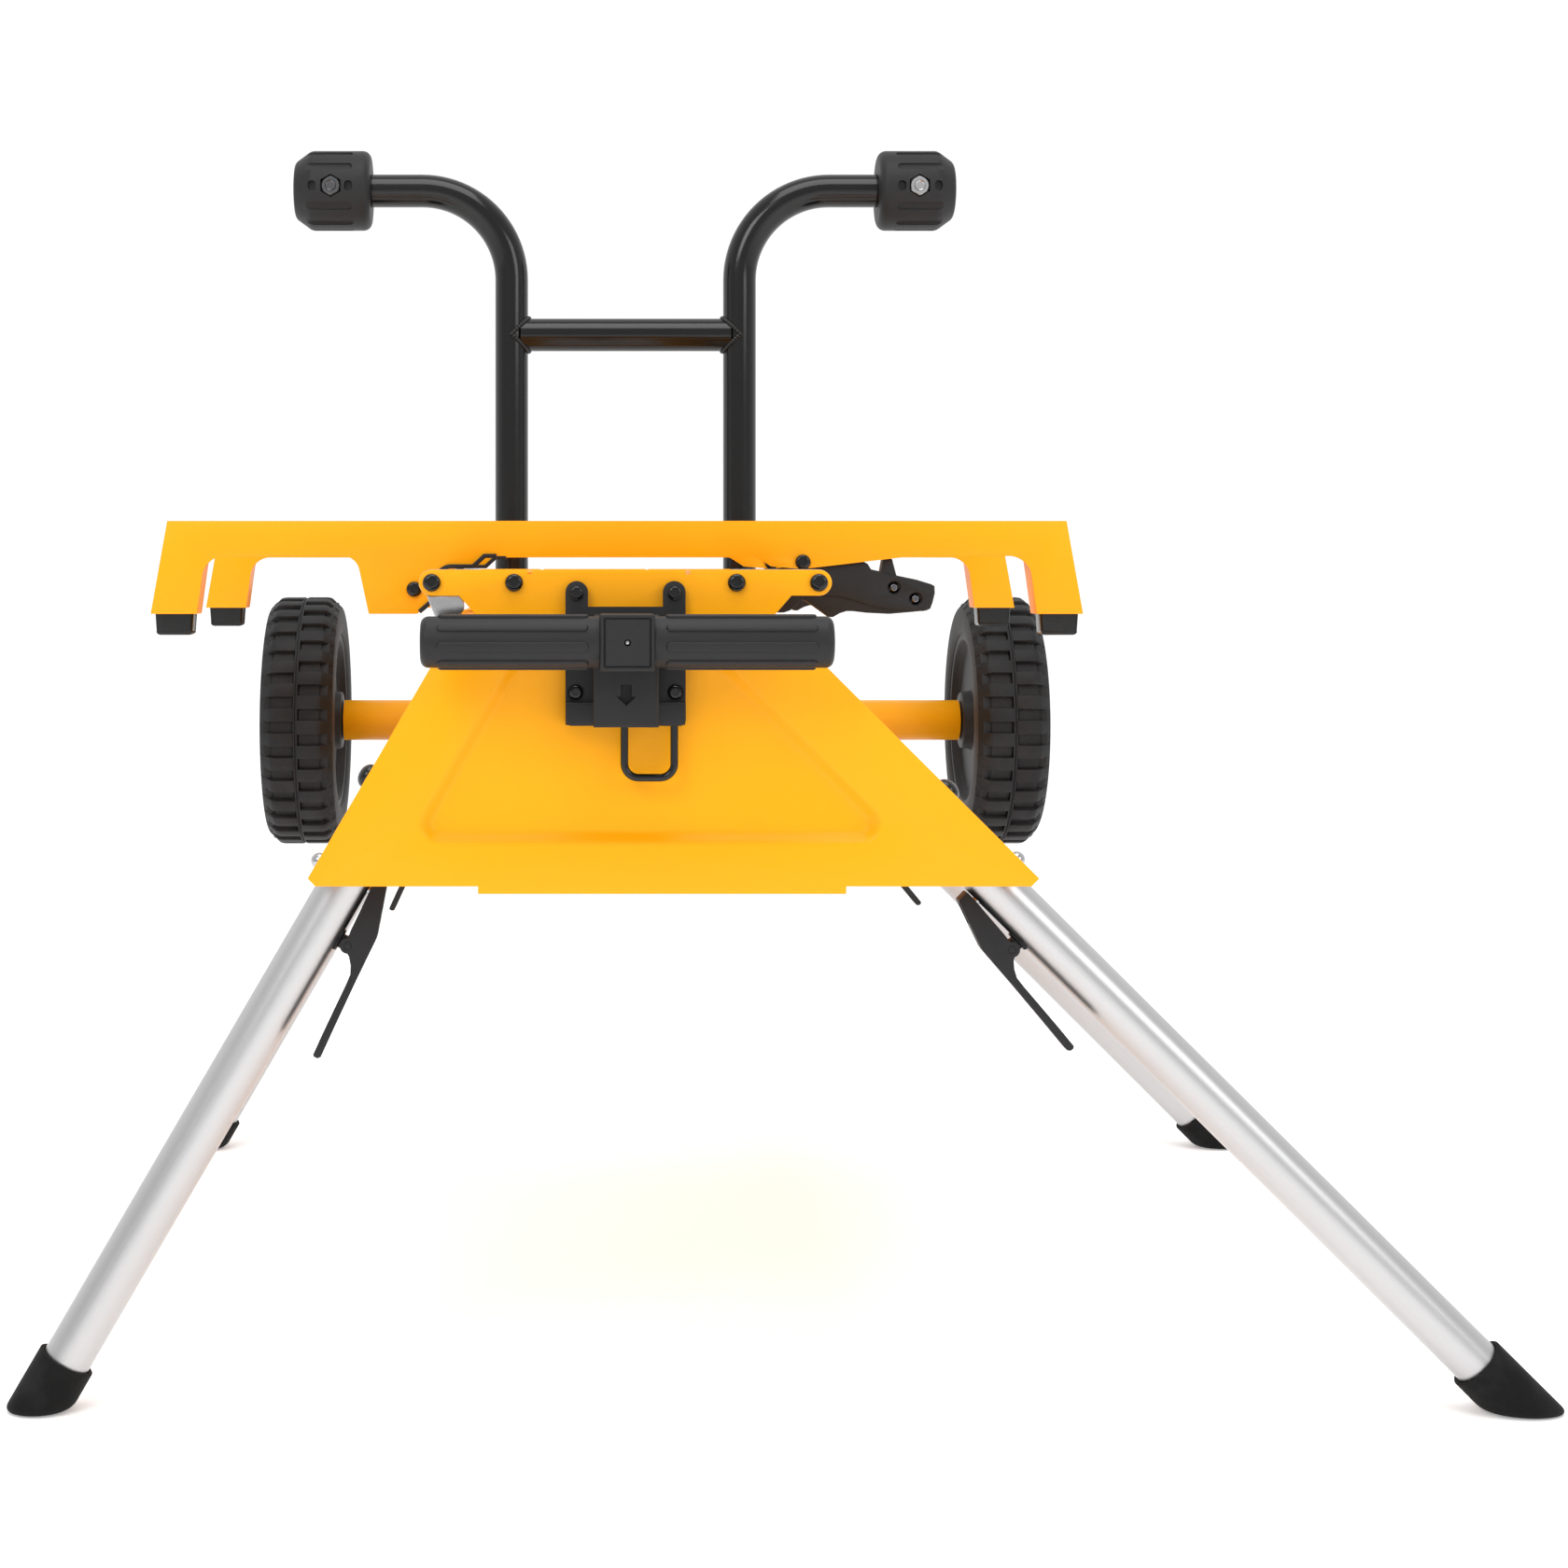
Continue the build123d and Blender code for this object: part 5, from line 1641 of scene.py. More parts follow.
@dataclass(frozen=True)
class LegPlace:
    """Where one leg stands: its pivot, the way along it and the way inward from its axis."""

    end: End
    flank: Flank
    axis_to_face: float = 21.175
    near_pivot: float = 55.0
    far_pivot: float = 768.0
    lean: float = 3.0

    @property
    def name(self) -> str:
        """Return the leg's name as its nodes have it."""
        return f"{self.end.value}_{self.flank.side.value}"

    @property
    def inward(self) -> Vector:
        """Return the way from the leg's axis away from its panel."""
        return -self.flank.outward()

    @property
    def pivot(self) -> Vector:
        """Return the point of the leg's axis that it folds about.

        Returns:
            The point, in metres.
        """
        along = self.near_pivot if self.end is End.NEAR else self.far_pivot
        face = at(self.flank.edge(self.flank.height), along, self.flank.height)
        return face + self.inward * self.axis_to_face * MM

    @property
    def along(self) -> Vector:
        """Return the way along the leg to its foot.

        Returns:
            The direction, of length 1.
        """
        lean = math.radians(self.lean)
        way = 1.0 if self.end is End.NEAR else -1.0
        return self.flank.down() * math.cos(lean) + Vector((0, -way * math.sin(lean), 0))

    @property
    def matrix(self) -> Matrix:
        """Return the matrix from a leg laid along +X with inward as +Z to the leg's place."""
        rows = Matrix((self.along, self.inward.cross(self.along), self.inward)).transposed()
        return Matrix.Translation(self.pivot) @ rows.to_4x4()


def on_leg(along: float, across: float, inward: float) -> Vector:
    """Return a point of a leg laid along +X, from millimetres along, across and inward."""
    return Vector((along, across, inward)) * MM


@dataclass
class LeverKit:
    """The release lever, its lug and the lock pin, made once for a leg laid along +X."""

    width: float = 20.0
    fulcrum: tuple[float, float] = (101.6, 22.5)
    boss: float = 5.1
    edge: float = 0.9
    eye: float = 2.6
    slot: tuple[float, float] = (14.0, 27.3)
    gap: float = 0.4
    pocket: tuple[tuple[float, ...], ...] = ((57.0, -5.4, 19.4), (71.0, 5.4, 40.0))
    gate: tuple[tuple[float, ...], ...] = ((58.5, -3.7, 10.0), (69.5, 3.7, 25.0))
    lug: float = 8.0
    lug_radius: float = 4.4
    pad: tuple[float, float] = (7.0, 6.0)
    pad_radii: tuple[float, float] = (15.9, 17.1)
    hinge: tuple[float, float] = (10.0, 2.5)
    pin_along: float = 64.0
    shank: Profile = (
        (0.0, -23.2), (4.6, -23.2), (5.0, -22.8), (5.0, -21.4), (4.6, -21.0), (3.3, -21.0), (3.3, 17.7),
    )
    ball: tuple[float, float] = (5.6, 6.0)
    ball_base: float = 21.2
    outline: Profile = (
        (54.8, 17.2), (54.9, 24.2), (55.8, 25.1), (62.0, 27.2), (75.0, 31.9), (86.6, 36.0),
        (89.6, 36.6), (93.4, 36.9), (120.0, 38.9), (150.0, 41.6), (172.6, 43.8), (174.3, 42.4),
        (174.6, 40.0), (173.6, 38.7), (160.0, 37.3), (140.0, 35.6), (124.0, 34.3), (116.7, 33.4),
        (111.5, 30.6), (107.0, 26.6), (106.0, 24.6), (101.6, 21.0), (96.4, 19.9), (91.3, 19.1),
        (76.0, 17.9), (62.0, 16.7), (55.6, 16.6),
    )

    def bar(self, half: float, radius: float) -> Piece:
        """Return a rod across the leg at the fulcrum, from half its length and its radius."""
        along, inward = self.fulcrum
        return Piece.rod("bar", on_leg(along, -half, inward), on_leg(along, half, inward), radius * MM)

    def lever(self) -> Piece:
        """Return the lever: a paddle with a round boss, a slot for its lug and a pocket for the pin.

        Returns:
            The lever.
        """
        half, gap = self.width / 2, self.lug / 2 + self.gap
        along, (reach, roof) = self.fulcrum[0], self.slot
        lever = Piece.slab("lever", [on_leg(t, -half, n) for t, n in self.outline], on_leg(0, self.width, 0))
        lever.weld(self.bar(half, self.boss))
        lever.round(self.edge * MM, 3, 25.0)
        slot = ((along - reach, -gap, 0.0), (along + reach, gap, roof))
        for low, high in (slot, self.pocket, self.gate):
            lever.cut(Piece.block("hollow", on_leg(*low), on_leg(*high)))
        return lever.cut(self.bar(half + 1, self.eye))

    def carrier(self) -> Piece:
        """Return the lug on its curved pad, with the pin that the lever turns on.

        Returns:
            The lug and its pad, as one piece.
        """
        along, inward = self.fulcrum
        (reach, width), (inner, outer), half = self.pad, self.pad_radii, self.lug / 2
        pad = Piece.rod("pad", on_leg(along - reach, 0, 0), on_leg(along + reach, 0, 0), outer * MM, 64)
        pad.cut(Piece.rod("tube", on_leg(along - 9, 0, 0), on_leg(along + 9, 0, 0), inner * MM, 64))
        pad.meet(Piece.block("limit", on_leg(along - 8, -width, 8), on_leg(along + 8, width, 24)))
        pad.round(0.4 * MM, 2)
        lug, side = self.bar(half, self.lug_radius), self.lug_radius
        lug.weld(Piece.block("web", on_leg(along - side, -half, inner), on_leg(along + side, half, inward)))
        lug.round(0.5 * MM, 2, 50.0)
        return pad.join(lug, self.bar(*self.hinge).round(0.5 * MM, 2))

    def lock_pin(self) -> Piece:
        """Return the lock pin: a bright ball-like dome through the panel, a shank and a head.

        Returns:
            The pin.
        """
        neck = (self.ball[0], self.shank[-1][1])
        dome = arc((0.0, self.ball_base), self.ball, 0, 90, 10)
        pin = Piece.turned("lock_pin", [*self.shank, neck, *dome])
        return pin.array([facing(on_leg(self.pin_along, 0, 0), -UP)])


@dataclass
class FoldingLegs:
    """The four legs with their boots, levers, lugs, lock pins and pivot bolts."""

    kit: LeverKit
    tube_colour: Colour = (0.58, 0.58, 0.585)
    tube_roughness: float = 0.36
    boot: float = 19.175
    sole_round: float = 6.0
    collar_steps: Profile = ((1.0, 0.45), (1.5, -0.1), (0.75, -2.2))
    spacer: Profile = ((4.0, -4.9), (8.0, -4.9), (8.0, -1.7), (4.0, -1.7))
    bolt: Dome = Dome(radius=8.4, height=7.2, rim=1.0, shank=4.0, grip=60.0)
    nut: HexNut = HexNut(flats=14.0, height=5.0, bolt=8.0)
    nut_depth: float = 42.6

    def boot_of(self, place: LegPlace) -> Piece:
        """Return one rubber boot, with a rolled collar and a rounded sole on the floor.

        Args:
            place: The leg's place.

        Returns:
            The boot.
        """
        reach = place.pivot.z / -place.along.z
        steep = math.tan(math.radians(place.flank.splay))
        start = place.pivot + place.along * (reach - place.flank.collar * MM)
        end = place.pivot + place.along * (reach + self.boot * MM * steep + 2 * MM)
        boot = Piece.rod("boot", start, end, self.boot * MM, sides=72).whole()
        bpy.ops.mesh.bisect(plane_co=(0, 0, 0), plane_no=UP, clear_inner=True, use_fill=True)
        boot.outward()
        boot.pick(Kind.EDGE, within(Axis.Z, high=NEAR)).bevel(self.sole_round * MM, 6)
        return boot.pick(Kind.FACE, looks(-place.along, 0.99)).terrace(self.collar_steps)

    def build(self, wardrobe: "Wardrobe", nodes: Nodes) -> None:
        """Build what each leg carries, and dress the tubes.

        Args:
            wardrobe: The stand's finishes.
            nodes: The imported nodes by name.
        """
        places = [LegPlace(end, FLANKS[side]) for end in End for side in Side]
        lever, carrier, pin = self.kit.lever(), self.kit.carrier(), self.kit.lock_pin()
        black, plastic = "black_rubber", "black_plastic"
        for place in places:
            name, on, turn = place.name, f"{place.name}_leg", place.matrix
            finish = f"{name}_tube_aluminium"
            tube = DrawnMetal(finish, self.tube_colour, self.tube_roughness, tuple(place.along))
            dress(nodes[on], tube.material())
            self.boot_of(place).finish(f"{name}_foot", wardrobe.rubber, black, on, f"{name}_boot")
            paddle, lug, dome = (part.copy("part", turn) for part in (lever, carrier, pin))
            paddle.finish(
                f"{name}_paddle", wardrobe.plastic, plastic, f"{name}_lever", f"{name}_release_lever",
            )
            lug.finish(f"{name}_lever_lug", wardrobe.plastic, plastic, on, f"{name}_lever_saddle")
            dome.finish(
                f"{name}_bright_pin", wardrobe.bright, "bright_steel", f"{name}_pin", f"{name}_lock_pin",
            )
        for spare in (lever, carrier, pin):
            bpy.data.objects.remove(spare.obj)
        self.pivots(places, wardrobe.gloss_black)

    def pivots(self, places: Sequence[LegPlace], finish: bpy.types.Material) -> None:
        """Build the four pivot bolts: a black dome, a spacer by the panel, a shank and a nut.

        Args:
            places: The legs' places.
            finish: The bolts' finish.
        """
        dome = self.bolt.model("dome")
        nut = self.nut.model("nut").array([Matrix.Translation(UP * (-self.nut_depth * MM))])
        dome.join(Piece.turned("spacer", self.spacer), nut)
        matrices = [facing(p.pivot - p.inward * p.axis_to_face * MM, -p.inward) for p in places]
        dome.array(matrices).finish("pivot_bolts", finish, "black_gloss_steel", "frame", "leg_pivot_bolts")


# Horn frame


@dataclass
class HornFrame:
    """Two bent horn tubes and the crossbar welded between them, bolted behind the rear plate."""

    uprights: tuple[float, float] = (-90.9, 131.0)
    ends: tuple[float, float] = (-287.8, 325.4)
    along: float = 871.0
    foot: float = 349.0
    arm_height: float = 913.8
    bar_height: float = 773.5
    bar_sunk: float = 9.0
    radius: float = 16.0
    bend: float = 87.0
    wall: float = 2.0
    bead: float = 2.1
    beads: int = 44
    bead_out: float = 0.6
    bead_ring: float = 1.02
    bead_turn: float = 0.37
    rear: float = 850.0
    bolt_heights: Profile = ((357.0, 475.0), (357.0, 452.0))
    bolt: PanScrew = PanScrew(radius=5.8, height=4.2)
    bolt_seat: float = 37.0
    nut: HexNut = HexNut(flats=12.2, height=6.0, bolt=8.0)
    nut_seat: float = 2.0
    spacer: Profile = ((4.1, 0.05), (9.0, 0.05), (9.0, 4.6), (8.6, 4.95), (4.1, 4.95))

    def tube(self, across: float, end: float) -> Piece:
        """Return one horn tube, bent at its top and open at its foot.

        Args:
            across: Where it stands.
            end: Where its arm ends.

        Returns:
            The tube.
        """
        corners = ((across, self.foot), (across, self.arm_height), (end, self.arm_height))
        points = [at(x, self.along, z) for x, z in corners]
        tube = Piece.bent("tube", points, self.radius * MM, self.bend * MM, 24)
        return tube.pick(Kind.FACE, looks(-UP, 0.99)).inset(self.wall * MM).extrude(UP * (30 * MM))

    def weld_bead(self, across: float, way: float) -> Piece:
        """Return the weld round one end of the crossbar, as a row of overlapping ripples.

        Args:
            across: Where the upright tube stands.
            way: 1 where the crossbar lies to its right and -1 where it lies to its left.

        Returns:
            The weld.
        """
        ripple = Piece.ball("ripple", self.bead * MM, 12, 8)
        ripple.whole().grow((1.25, 1.0, 1.0))
        matrices = []
        for step in range(self.beads):
            angle = math.tau * step / self.beads
            back, up = self.radius * math.cos(angle), self.radius * math.sin(angle)
            out, ring = way * (abs(up) + self.bead_out), self.bead_ring
            where = at(across + out, self.along + back * ring, self.bar_height + up * ring)
            matrices.append(Matrix.Translation(where) @ Matrix.Rotation(self.bead_turn * step, 4, "X"))
        return ripple.array(matrices)

    def build(self, wardrobe: "Wardrobe") -> None:
        """Build the tubes, the crossbar and its welds, and the bolts.

        Args:
            wardrobe: The stand's finishes.
        """
        black, slot = wardrobe.gloss_black, "black_gloss_steel"
        for side, across, end in zip(Side, self.uprights, self.ends):
            name = side.value
            self.tube(across, end).finish(f"{name}_bent_horn", black, slot, "frame", f"{name}_horn_tube")
        left, right = self.uprights
        reaches = (left + self.bar_sunk, right - self.bar_sunk)
        start, end = (at(x, self.along, self.bar_height) for x in reaches)
        bar = Piece.rod("bar", start, end, self.radius * MM, sides=64)
        bar.pick(Kind.FACE, lambda face: abs(face.normal.x) > 0.9).inset(self.wall * MM, -4 * MM)
        bar.join(self.weld_bead(left, 1.0), self.weld_bead(right, -1.0))
        bar.finish("welded_crossbar", black, slot, "frame", "horn_crossbar")
        bolt = self.bolt.model("bolt").array([Matrix.Translation(UP * (self.bolt_seat * MM))])
        turn = Matrix.Rotation(math.pi, 4, "X") @ Matrix.Translation(UP * (self.nut_seat * MM))
        bolt.join(Piece.turned("spacer", self.spacer), self.nut.model("nut").array([turn]))
        places = [(x, z) for x, heights in zip(self.uprights, self.bolt_heights) for z in heights]
        bolts = bolt.array([facing(at(x, self.rear, z), BEHIND) for x, z in places])
        bolts.finish("horn_frame_bolts", wardrobe.black_zinc, slot, "frame", "horn_bolts")


# Clip and wire bail on the front plate


@dataclass
class HandleClip:
    """The black moulding that holds the pull handle's stem, with its four screws and its wire bail."""

    half: float = 38.2
    foot: float = 446.5
    foot_top: float = 461.5
    foot_depth: float = 11.0
    foot_round: float = 1.6
    cross: float = 522.0
    top: float = 538.4
    ear: float = 14.3
    corner: float = 3.6
    base: float = 6.0
    sunk: float = 0.2
    edge: float = 0.7
    back_top: float = 471.5
    back_depth: float = 5.0
    channel: float = 20.5
    channel_top: float = 517.2
    channel_depth: float = 27.1
    channel_round: float = 2.0
    bore: float = 12.8
    bore_height: float = 500.7
    screws: Profile = ((-31.6, 467.6), (31.6, 467.6), (-31.3, 530.7), (31.3, 530.7))
    screw: PanScrew = PanScrew(radius=4.6, height=2.8)
    screw_sunk: tuple[float, ...] = (1.6, 1.6, 0.0, 0.0)
    screw_well: float = 5.6
    screw_turn: float = 11.0
    arrow: Profile = (
        (-3.4, 473.4), (3.4, 473.4), (3.4, 465.9), (6.0, 465.9), (0.0, 460.2), (-6.0, 465.9), (-3.4, 465.9),
    )
    arrow_depth: float = 5.0
    wire: float = 2.5
    bail_left: float = -0.7
    bail_right: float = 31.0
    bail_bottom: float = 413.4
    bail_top: float = 460.5
    bail_bend: float = 9.0

    def spot(self, across: float, height: float, forward: float = 0.0) -> Vector:
        """Return a point by its distance in front of the plate."""
        return at(across, -forward, height)

    def outline(self) -> list[Vector]:
        """Return the contour of the base: a plate with two round-topped ears.

        Returns:
            The points of the contour, in order.
        """
        radius, inner = self.ear / 2, self.half - self.ear
        ear = arc((radius - self.half, self.top - radius), (radius, radius), 180, 0, 12)
        contour = mirrored([(-self.half, self.foot), *ear, (-inner, self.cross)])
        return [self.spot(x, z, -self.sunk) for x, z in contour]

    def moulding(self) -> Piece:
        """Return the clip with its channel, foot, bore, screw wells and arrow.

        Returns:
            The clip.
        """
        lower = both(within(Axis.Z, high=self.foot * MM + CLOSE), spans(Axis.Y, 1 * MM))
        clip = Piece.slab("clip", self.outline(), AHEAD * ((self.base + self.sunk) * MM))
        clip.pick(Kind.EDGE, lower).bevel(self.corner * MM, 6)
        front = self.spot(self.half, self.foot_top, self.foot_depth)
        foot = Piece.block("foot", self.spot(-self.half, self.foot, 0.5), front)
        foot.pick(Kind.EDGE, lower).bevel(self.corner * MM, 6)
        foot.pick(Kind.EDGE, within(Axis.Y, high=front.y + CLOSE)).bevel(self.foot_round * MM, 3)
        clip.weld(foot)
        front = self.spot(self.channel, self.channel_top, self.channel_depth)
        channel = Piece.block("channel", self.spot(-self.channel, self.foot, 0.5), front)
        channel.pick(Kind.EDGE, within(Axis.Y, high=front.y + CLOSE)).bevel(self.channel_round * MM, 4)
        clip.weld(channel)
        clip.round(self.edge * MM, 2, 40.0)
        front = self.spot(self.bore, self.bore_height + self.bore, self.channel_depth + 5)
        clip.cut(Piece.block("bore", self.spot(-self.bore, self.bore_height - self.bore, -5), front))
        arrow = [self.spot(x, z, self.channel_depth - self.arrow_depth) for x, z in self.arrow]
        clip.cut(Piece.slab("arrow", arrow, AHEAD * (8 * MM)))
        for (x, z), sunk in zip(self.screws, self.screw_sunk):
            if sunk:
                seat = self.spot(x, z, self.base - sunk)
                clip.cut(Piece.rod("well", seat, self.spot(x, z, 20), self.screw_well * MM, sides=40))
        return clip

    def build(self, wardrobe: "Wardrobe") -> None:
        """Build the clip, its screws and the bail.

        Args:
            wardrobe: The stand's finishes.
        """
        black, slot = wardrobe.gloss_black, "black_gloss_steel"
        clip = self.moulding()
        corners = mirrored([(-self.half, self.foot), (-self.half, self.back_top)])
        points = [self.spot(x, z, 0.1) for x, z in corners]
        clip.join(Piece.slab("back", points, BEHIND * (self.back_depth * MM)))
        clip.finish("clip_moulding", wardrobe.plastic, "black_plastic", "frame", "handle_clip")
        screws = self.screw.model("head").array([
            facing(self.spot(x, z, self.base - sunk), AHEAD, self.screw_turn * x)
            for (x, z), sunk in zip(self.screws, self.screw_sunk)
        ])
        screws.finish("clip_pan_screws", black, slot, "frame", "clip_screws")
        corners = (
            (self.bail_left, self.bail_top), (self.bail_left, self.bail_bottom),
            (self.bail_right, self.bail_bottom), (self.bail_right, self.bail_top),
        )
        points = [self.spot(x, z, self.base) for x, z in corners]
        bail = Piece.bent("bail", points, self.wire * MM, self.bail_bend * MM, 12)
        bail.finish("bent_wire_bail", black, slot, "bail", "wire_bail")


# Saw brackets


@dataclass
class SawBracket:
    """What a saw bracket carries: its latch lever, bolts, hook edging and foot pads."""

    end: End
    near: float = 277.0
    far: float = 573.0
    rod: tuple[float, float] = (123.5, 537.3)
    jaw: float = 9.4
    sheet: float = 3.4
    foot_across: float = 330.15
    foot_height: float = 512.4
    pad_half: float = 14.3
    pad_drop: float = 16.0
    pad_reach: tuple[float, float] = (2.5, 24.5)
    pad_taper: float = 0.93
    pad_sole: float = 3.2
    pad_corner: float = 2.0
    pivot: tuple[float, float] = (138.6, 551.0)
    hook_bolt: tuple[float, float] = (-151.0, 530.8)
    bolt: PanScrew = PanScrew(radius=5.7, height=3.4)
    nut: HexNut = HexNut(flats=9.8, height=3.0, bolt=6.0)
    nut_depths: tuple[float, float] = (20.8, 3.1)
    bolt_turn: float = 15.0
    grip_screws: Profile = ((206.9, 531.9), (222.9, 523.5))
    screw: PanScrew = PanScrew(radius=3.0, height=1.8)
    screw_well: float = 5.0
    screw_seat: float = 2.2
    screw_turn: float = 20.0
    length: float = 113.5
    drop: float = 41.4
    thick: float = 17.0
    step: float = 1.3
    edge: float = 0.7
    outline_shares: Profile = (
        (-0.040, -0.109), (-0.02, 0.10), (0.0, 0.135), (0.03, 0.13), (0.079, 0.072), (0.25, 0.04),
        (0.405, 0.006), (0.43, -0.03), (0.452, -0.13), (0.518, -0.172), (0.533, 0.06), (0.590, 0.06),
        (0.619, -0.240), (0.75, -0.315), (0.845, -0.395), (0.870, -0.43), (0.872, -0.56), (0.858, -0.72),
        (0.842, -0.84), (0.815, -0.875), (0.70, -0.905), (0.57, -0.935), (0.42, -0.915), (0.33, -0.885),
        (0.29, -0.885), (0.245, -0.925), (0.20, -0.995), (0.175, -0.99), (0.12, -0.88), (0.071, -0.783),
        (0.03, -0.71), (0.0, -0.674), (-0.045, -0.80), (-0.079, -0.870), (-0.12, -0.91), (-0.163, -0.913),
        (-0.14, -0.72), (-0.103, -0.554),
    )
    cover_shares: Profile = (
        (-0.03, -0.12), (-0.01, 0.08), (0.079, 0.06), (0.405, -0.004), (0.43, -0.04), (0.45, -0.142),
        (0.53, -0.19), (0.619, -0.250), (0.75, -0.325), (0.845, -0.405), (0.866, -0.43), (0.866, -0.56),
        (0.852, -0.72), (0.82, -0.868), (0.795, -0.884), (0.74, -0.880), (0.684, -0.868), (0.557, -0.850),
        (0.490, -0.815), (0.424, -0.770), (0.370, -0.715), (0.312, -0.672), (0.230, -0.614), (0.12, -0.60),
        (0.04, -0.585), (-0.03, -0.55), (-0.07, -0.47),
    )

    @property
    def along(self) -> float:
        """Return where the bracket's front face lies."""
        return self.near if self.end is End.NEAR else self.far

    def spot(self, point: tuple[float, float], deep: float = 0.0) -> Vector:
        """Return a point so far behind the bracket's front face."""
        return at(point[0], self.along + deep, point[1])

    def shape(self, shares: Profile, deep: float, thick: float) -> Piece:
        """Return one layer of the latch lever, with its jaw, screw wells and rounded edges.

        Args:
            shares: The outline's corners from the pivot, in shares of the lever's length and drop.
            deep: How far behind the bracket's face it starts.
            thick: Its thickness.

        Returns:
            The layer.
        """
        x, z = self.pivot
        points = [self.spot((x + self.length * a, z + self.drop * b), deep) for a, b in shares]
        layer = Piece.slab("layer", points, BEHIND * (thick * MM))
        layer.cut(Piece.rod("jaw", self.spot(self.rod), self.spot(self.rod, 40), self.jaw * MM, sides=64))
        for screw in self.grip_screws:
            seat = self.spot(screw, self.sheet + self.screw_seat)
            layer.cut(Piece.rod("well", self.spot(screw), seat, self.screw_well * MM, sides=40))
        return layer.round(self.edge * MM, 2, 32.0)

    def latch(self, wardrobe: "Wardrobe") -> None:
        """Build the latch lever: a cover over a longer grip, with sunk screws.

        Args:
            wardrobe: The stand's finishes.
        """
        body = f"{self.end.value}_latch"
        grip = self.shape(self.outline_shares, self.sheet + self.step, self.thick - self.step)
        cover = self.shape(self.cover_shares, self.sheet, self.thick - 2 * self.step)
        cover.join(grip)
        cover.finish(f"{body}_grip", wardrobe.plastic, "black_plastic", body, f"{body}_lever")
        screws = self.screw.model("head").array([
            facing(self.spot(screw, self.sheet + self.screw_seat), AHEAD, self.screw_turn)
            for screw in self.grip_screws
        ])
        screws.finish(f"{body}_screws", wardrobe.black_zinc, "black_gloss_steel", body)

    def bolts(self, wardrobe: "Wardrobe") -> None:
        """Build the bolts that go through the bracket's web.

        Args:
            wardrobe: The stand's finishes.
        """
        places = (self.pivot, self.hook_bolt)
        seats = [facing(self.spot(place), AHEAD, self.bolt_turn) for place in places]
        backs = [facing(self.spot(place, deep), BEHIND) for place, deep in zip(places, self.nut_depths)]
        head, nut = self.bolt.model("head"), self.nut.model("nut")
        heads = head.array(seats).join(nut.array(backs))
        replaced = ("bracket_bolts",) if self.end is End.NEAR else ()
        name = f"{self.end.value}_bracket_bolts"
        heads.finish(name, wardrobe.gloss_black, "black_gloss_steel", "frame", *replaced)

    def pad(self, across: float) -> Piece:
        """Return one rubber pad, slightly tapered and rounded, and let into its foot a little.

        Args:
            across: Where its middle lies.

        Returns:
            The pad.
        """
        sole, (front, back) = self.foot_height - self.pad_drop, self.pad_reach
        low = self.spot((across - self.pad_half, sole), front)
        pad = Piece.block("pad", low, self.spot((across + self.pad_half, self.foot_height - 0.02), back))
        pad.pick(Kind.FACE, looks(-UP)).grow((self.pad_taper, self.pad_taper, 1.0))
        pad.pick(Kind.EDGE, within(Axis.Z, high=low.z + 1 * MM)).bevel(self.pad_sole * MM, 6)
        pad.pick(Kind.EDGE, spans(Axis.Z, 6 * MM)).bevel(self.pad_corner * MM, 4)
        return pad.outward()

    def build(self, wardrobe: "Wardrobe") -> None:
        """Build what the bracket carries.

        Args:
            wardrobe: The stand's finishes.
        """
        self.latch(wardrobe)
        self.bolts(wardrobe)
        pads = self.pad(-self.foot_across).join(self.pad(self.foot_across))
        replaced = ("bracket_pads",) if self.end is End.NEAR else ()
        name = f"{self.end.value}_bracket_feet"
        pads.finish(name, wardrobe.gloss_rubber, "black_rubber", "frame", *replaced)


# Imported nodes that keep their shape


CARRIED = (
    CarriedNode("left_side_panel", "frame", "yellow_steel", 0.4),
    CarriedNode("right_side_panel", "frame", "yellow_steel", 0.4),
    CarriedNode("body_rails", "frame", "yellow_steel", 1.0, 3),
    CarriedNode("rod_supports", "frame", "bright_steel", 0.5),
    CarriedNode("left_hook_rod", "frame", "dark_steel", 0.3),
    CarriedNode("right_hook_rod", "frame", "dark_steel", 0.3),
    CarriedNode("axle_tube", "frame", "yellow_steel", 0.5),
    CarriedNode("axle_rod", "frame", "dark_steel", 1.5, 4),
    CarriedNode("handle_sleeve", "frame", "dark_steel", 1.0, 3),
    CarriedNode("sleeve_straps", "frame", "yellow_steel", 0.5),
    CarriedNode("handle_stem", "pull_handle", "dark_steel", 0.7, 3),
    CarriedNode("near_saw_bracket", "frame", "yellow_steel", 1.3, 3),
    CarriedNode("far_saw_bracket", "frame", "yellow_steel", 1.3, 3),
    CarriedNode("near_hook_liner", "frame", "black_plastic", 0.5),
    CarriedNode("far_hook_liner", "frame", "black_plastic", 0.5),
)


# The stand as a whole


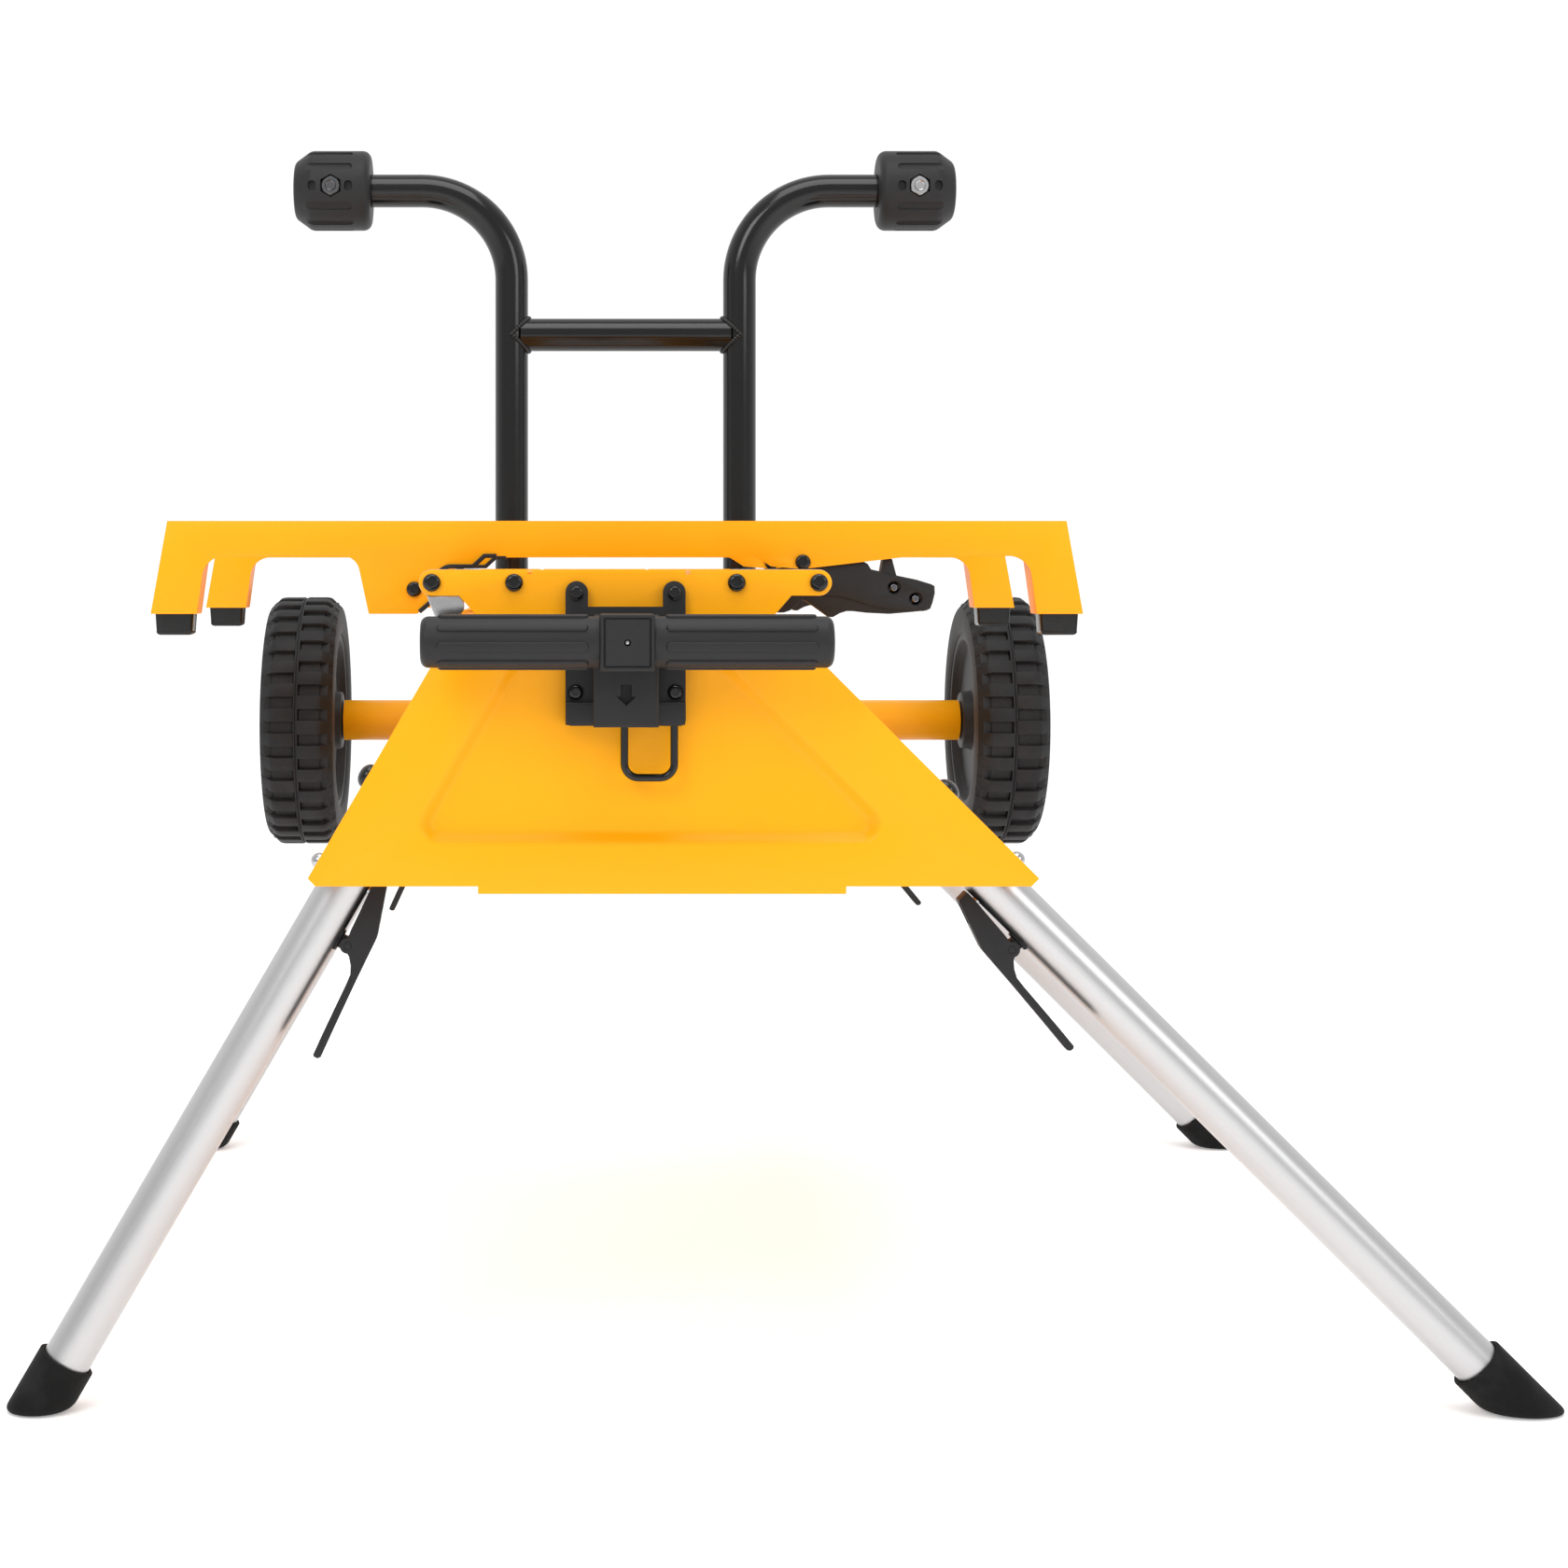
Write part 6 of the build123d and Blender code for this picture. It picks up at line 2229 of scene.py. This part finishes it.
class Wardrobe:
    """The finishes of the stand, made once each."""

    def __init__(self) -> None:
        """Make the finishes."""
        soot, lengthwise = (0.004, 0.004, 0.004), (0, 1, 0)
        yellow = PowderCoat("yellow_coat", (0.96, 0.4, 0.002), (0.92, 0.375, 0.002), 0.38, shine=0.22)
        black = PowderCoat("gloss_black_coat", (0.006, 0.006, 0.006), soot, 0.16, shine=0.4)
        self.yellow = yellow.material()
        self.gloss_black = black.material()
        self.plastic = GrainedPlastic("black_plastic", (0.013, 0.013, 0.0138), 0.5, shine=0.26).material()
        self.rubber = MouldedRubber("boot_rubber", (0.007, 0.007, 0.007), 0.65, shine=0.1).material()
        self.tyre = MouldedRubber("tyre_rubber", (0.008, 0.008, 0.0085), 0.6, shine=0.3).material()
        self.gloss_rubber = MouldedRubber("pad_rubber", soot, 0.22, 0.00003, 0.3).material()
        self.bright = DrawnMetal("polished_steel", (0.5, 0.5, 0.51), 0.16, lengthwise, 0.000002).material()
        self.zinc = DrawnMetal("bright_zinc", (0.6, 0.6, 0.61), 0.25, lengthwise).material()
        self.black_zinc = DrawnMetal("black_zinc", (0.16, 0.16, 0.17), 0.22, lengthwise).material()
        self.steel = DrawnMetal("plain_steel", (0.35, 0.35, 0.37), 0.35, lengthwise).material()

    @property
    def slots(self) -> Mapping[str, bpy.types.Material]:
        """Return the finish of each of the record's slots.

        Returns:
            The finishes by the names of their slots.
        """
        return {
            "yellow_steel": self.yellow, "black_rubber": self.rubber, "tyre_rubber": self.tyre,
            "bright_steel": self.zinc, "black_plastic": self.plastic, "black_gloss_steel": self.gloss_black,
            "dark_steel": self.steel, "leg_aluminium": self.zinc,
        }


def dress(node: bpy.types.Object, material: bpy.types.Material) -> None:
    """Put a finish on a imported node."""
    node.data.materials.clear()
    node.data.materials.append(material)


def main() -> None:
    """Dress the stand, piece by piece."""
    logging.basicConfig(level=logging.INFO, format="%(name)s: %(message)s")
    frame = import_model()
    bpy.ops.object.select_all(action="DESELECT")
    Studio().build()
    wardrobe = Wardrobe()
    nodes, slots = frame["nodes"], wardrobe.slots
    for entry in frame["record"]["subparts"]:
        dress(nodes[entry["node"]], slots[entry["material_slot"]])
        log.info("%s dressed", entry["node"])
    for carried in CARRIED:
        carried.build(nodes, slots[carried.slot])
    for end in End:
        EndPlate(end, 0.0 if end is End.NEAR else 850.0).build(wardrobe)
    FoldingLegs(LeverKit()).build(wardrobe, nodes)
    HornFrame().build(wardrobe)
    HandleClip().build(wardrobe)
    for end in End:
        SawBracket(end).build(wardrobe)
    HornKnob(Side.LEFT, -300.8, wardrobe.black_zinc).build(wardrobe)
    HornKnob(Side.RIGHT, 338.4, wardrobe.zinc).build(wardrobe)
    PullHandle().build(wardrobe)
    Wheel(Side.LEFT, -284.6).build(wardrobe)
    Wheel(Side.RIGHT, 371.4).build(wardrobe)


if __name__ == "__main__":
    main()
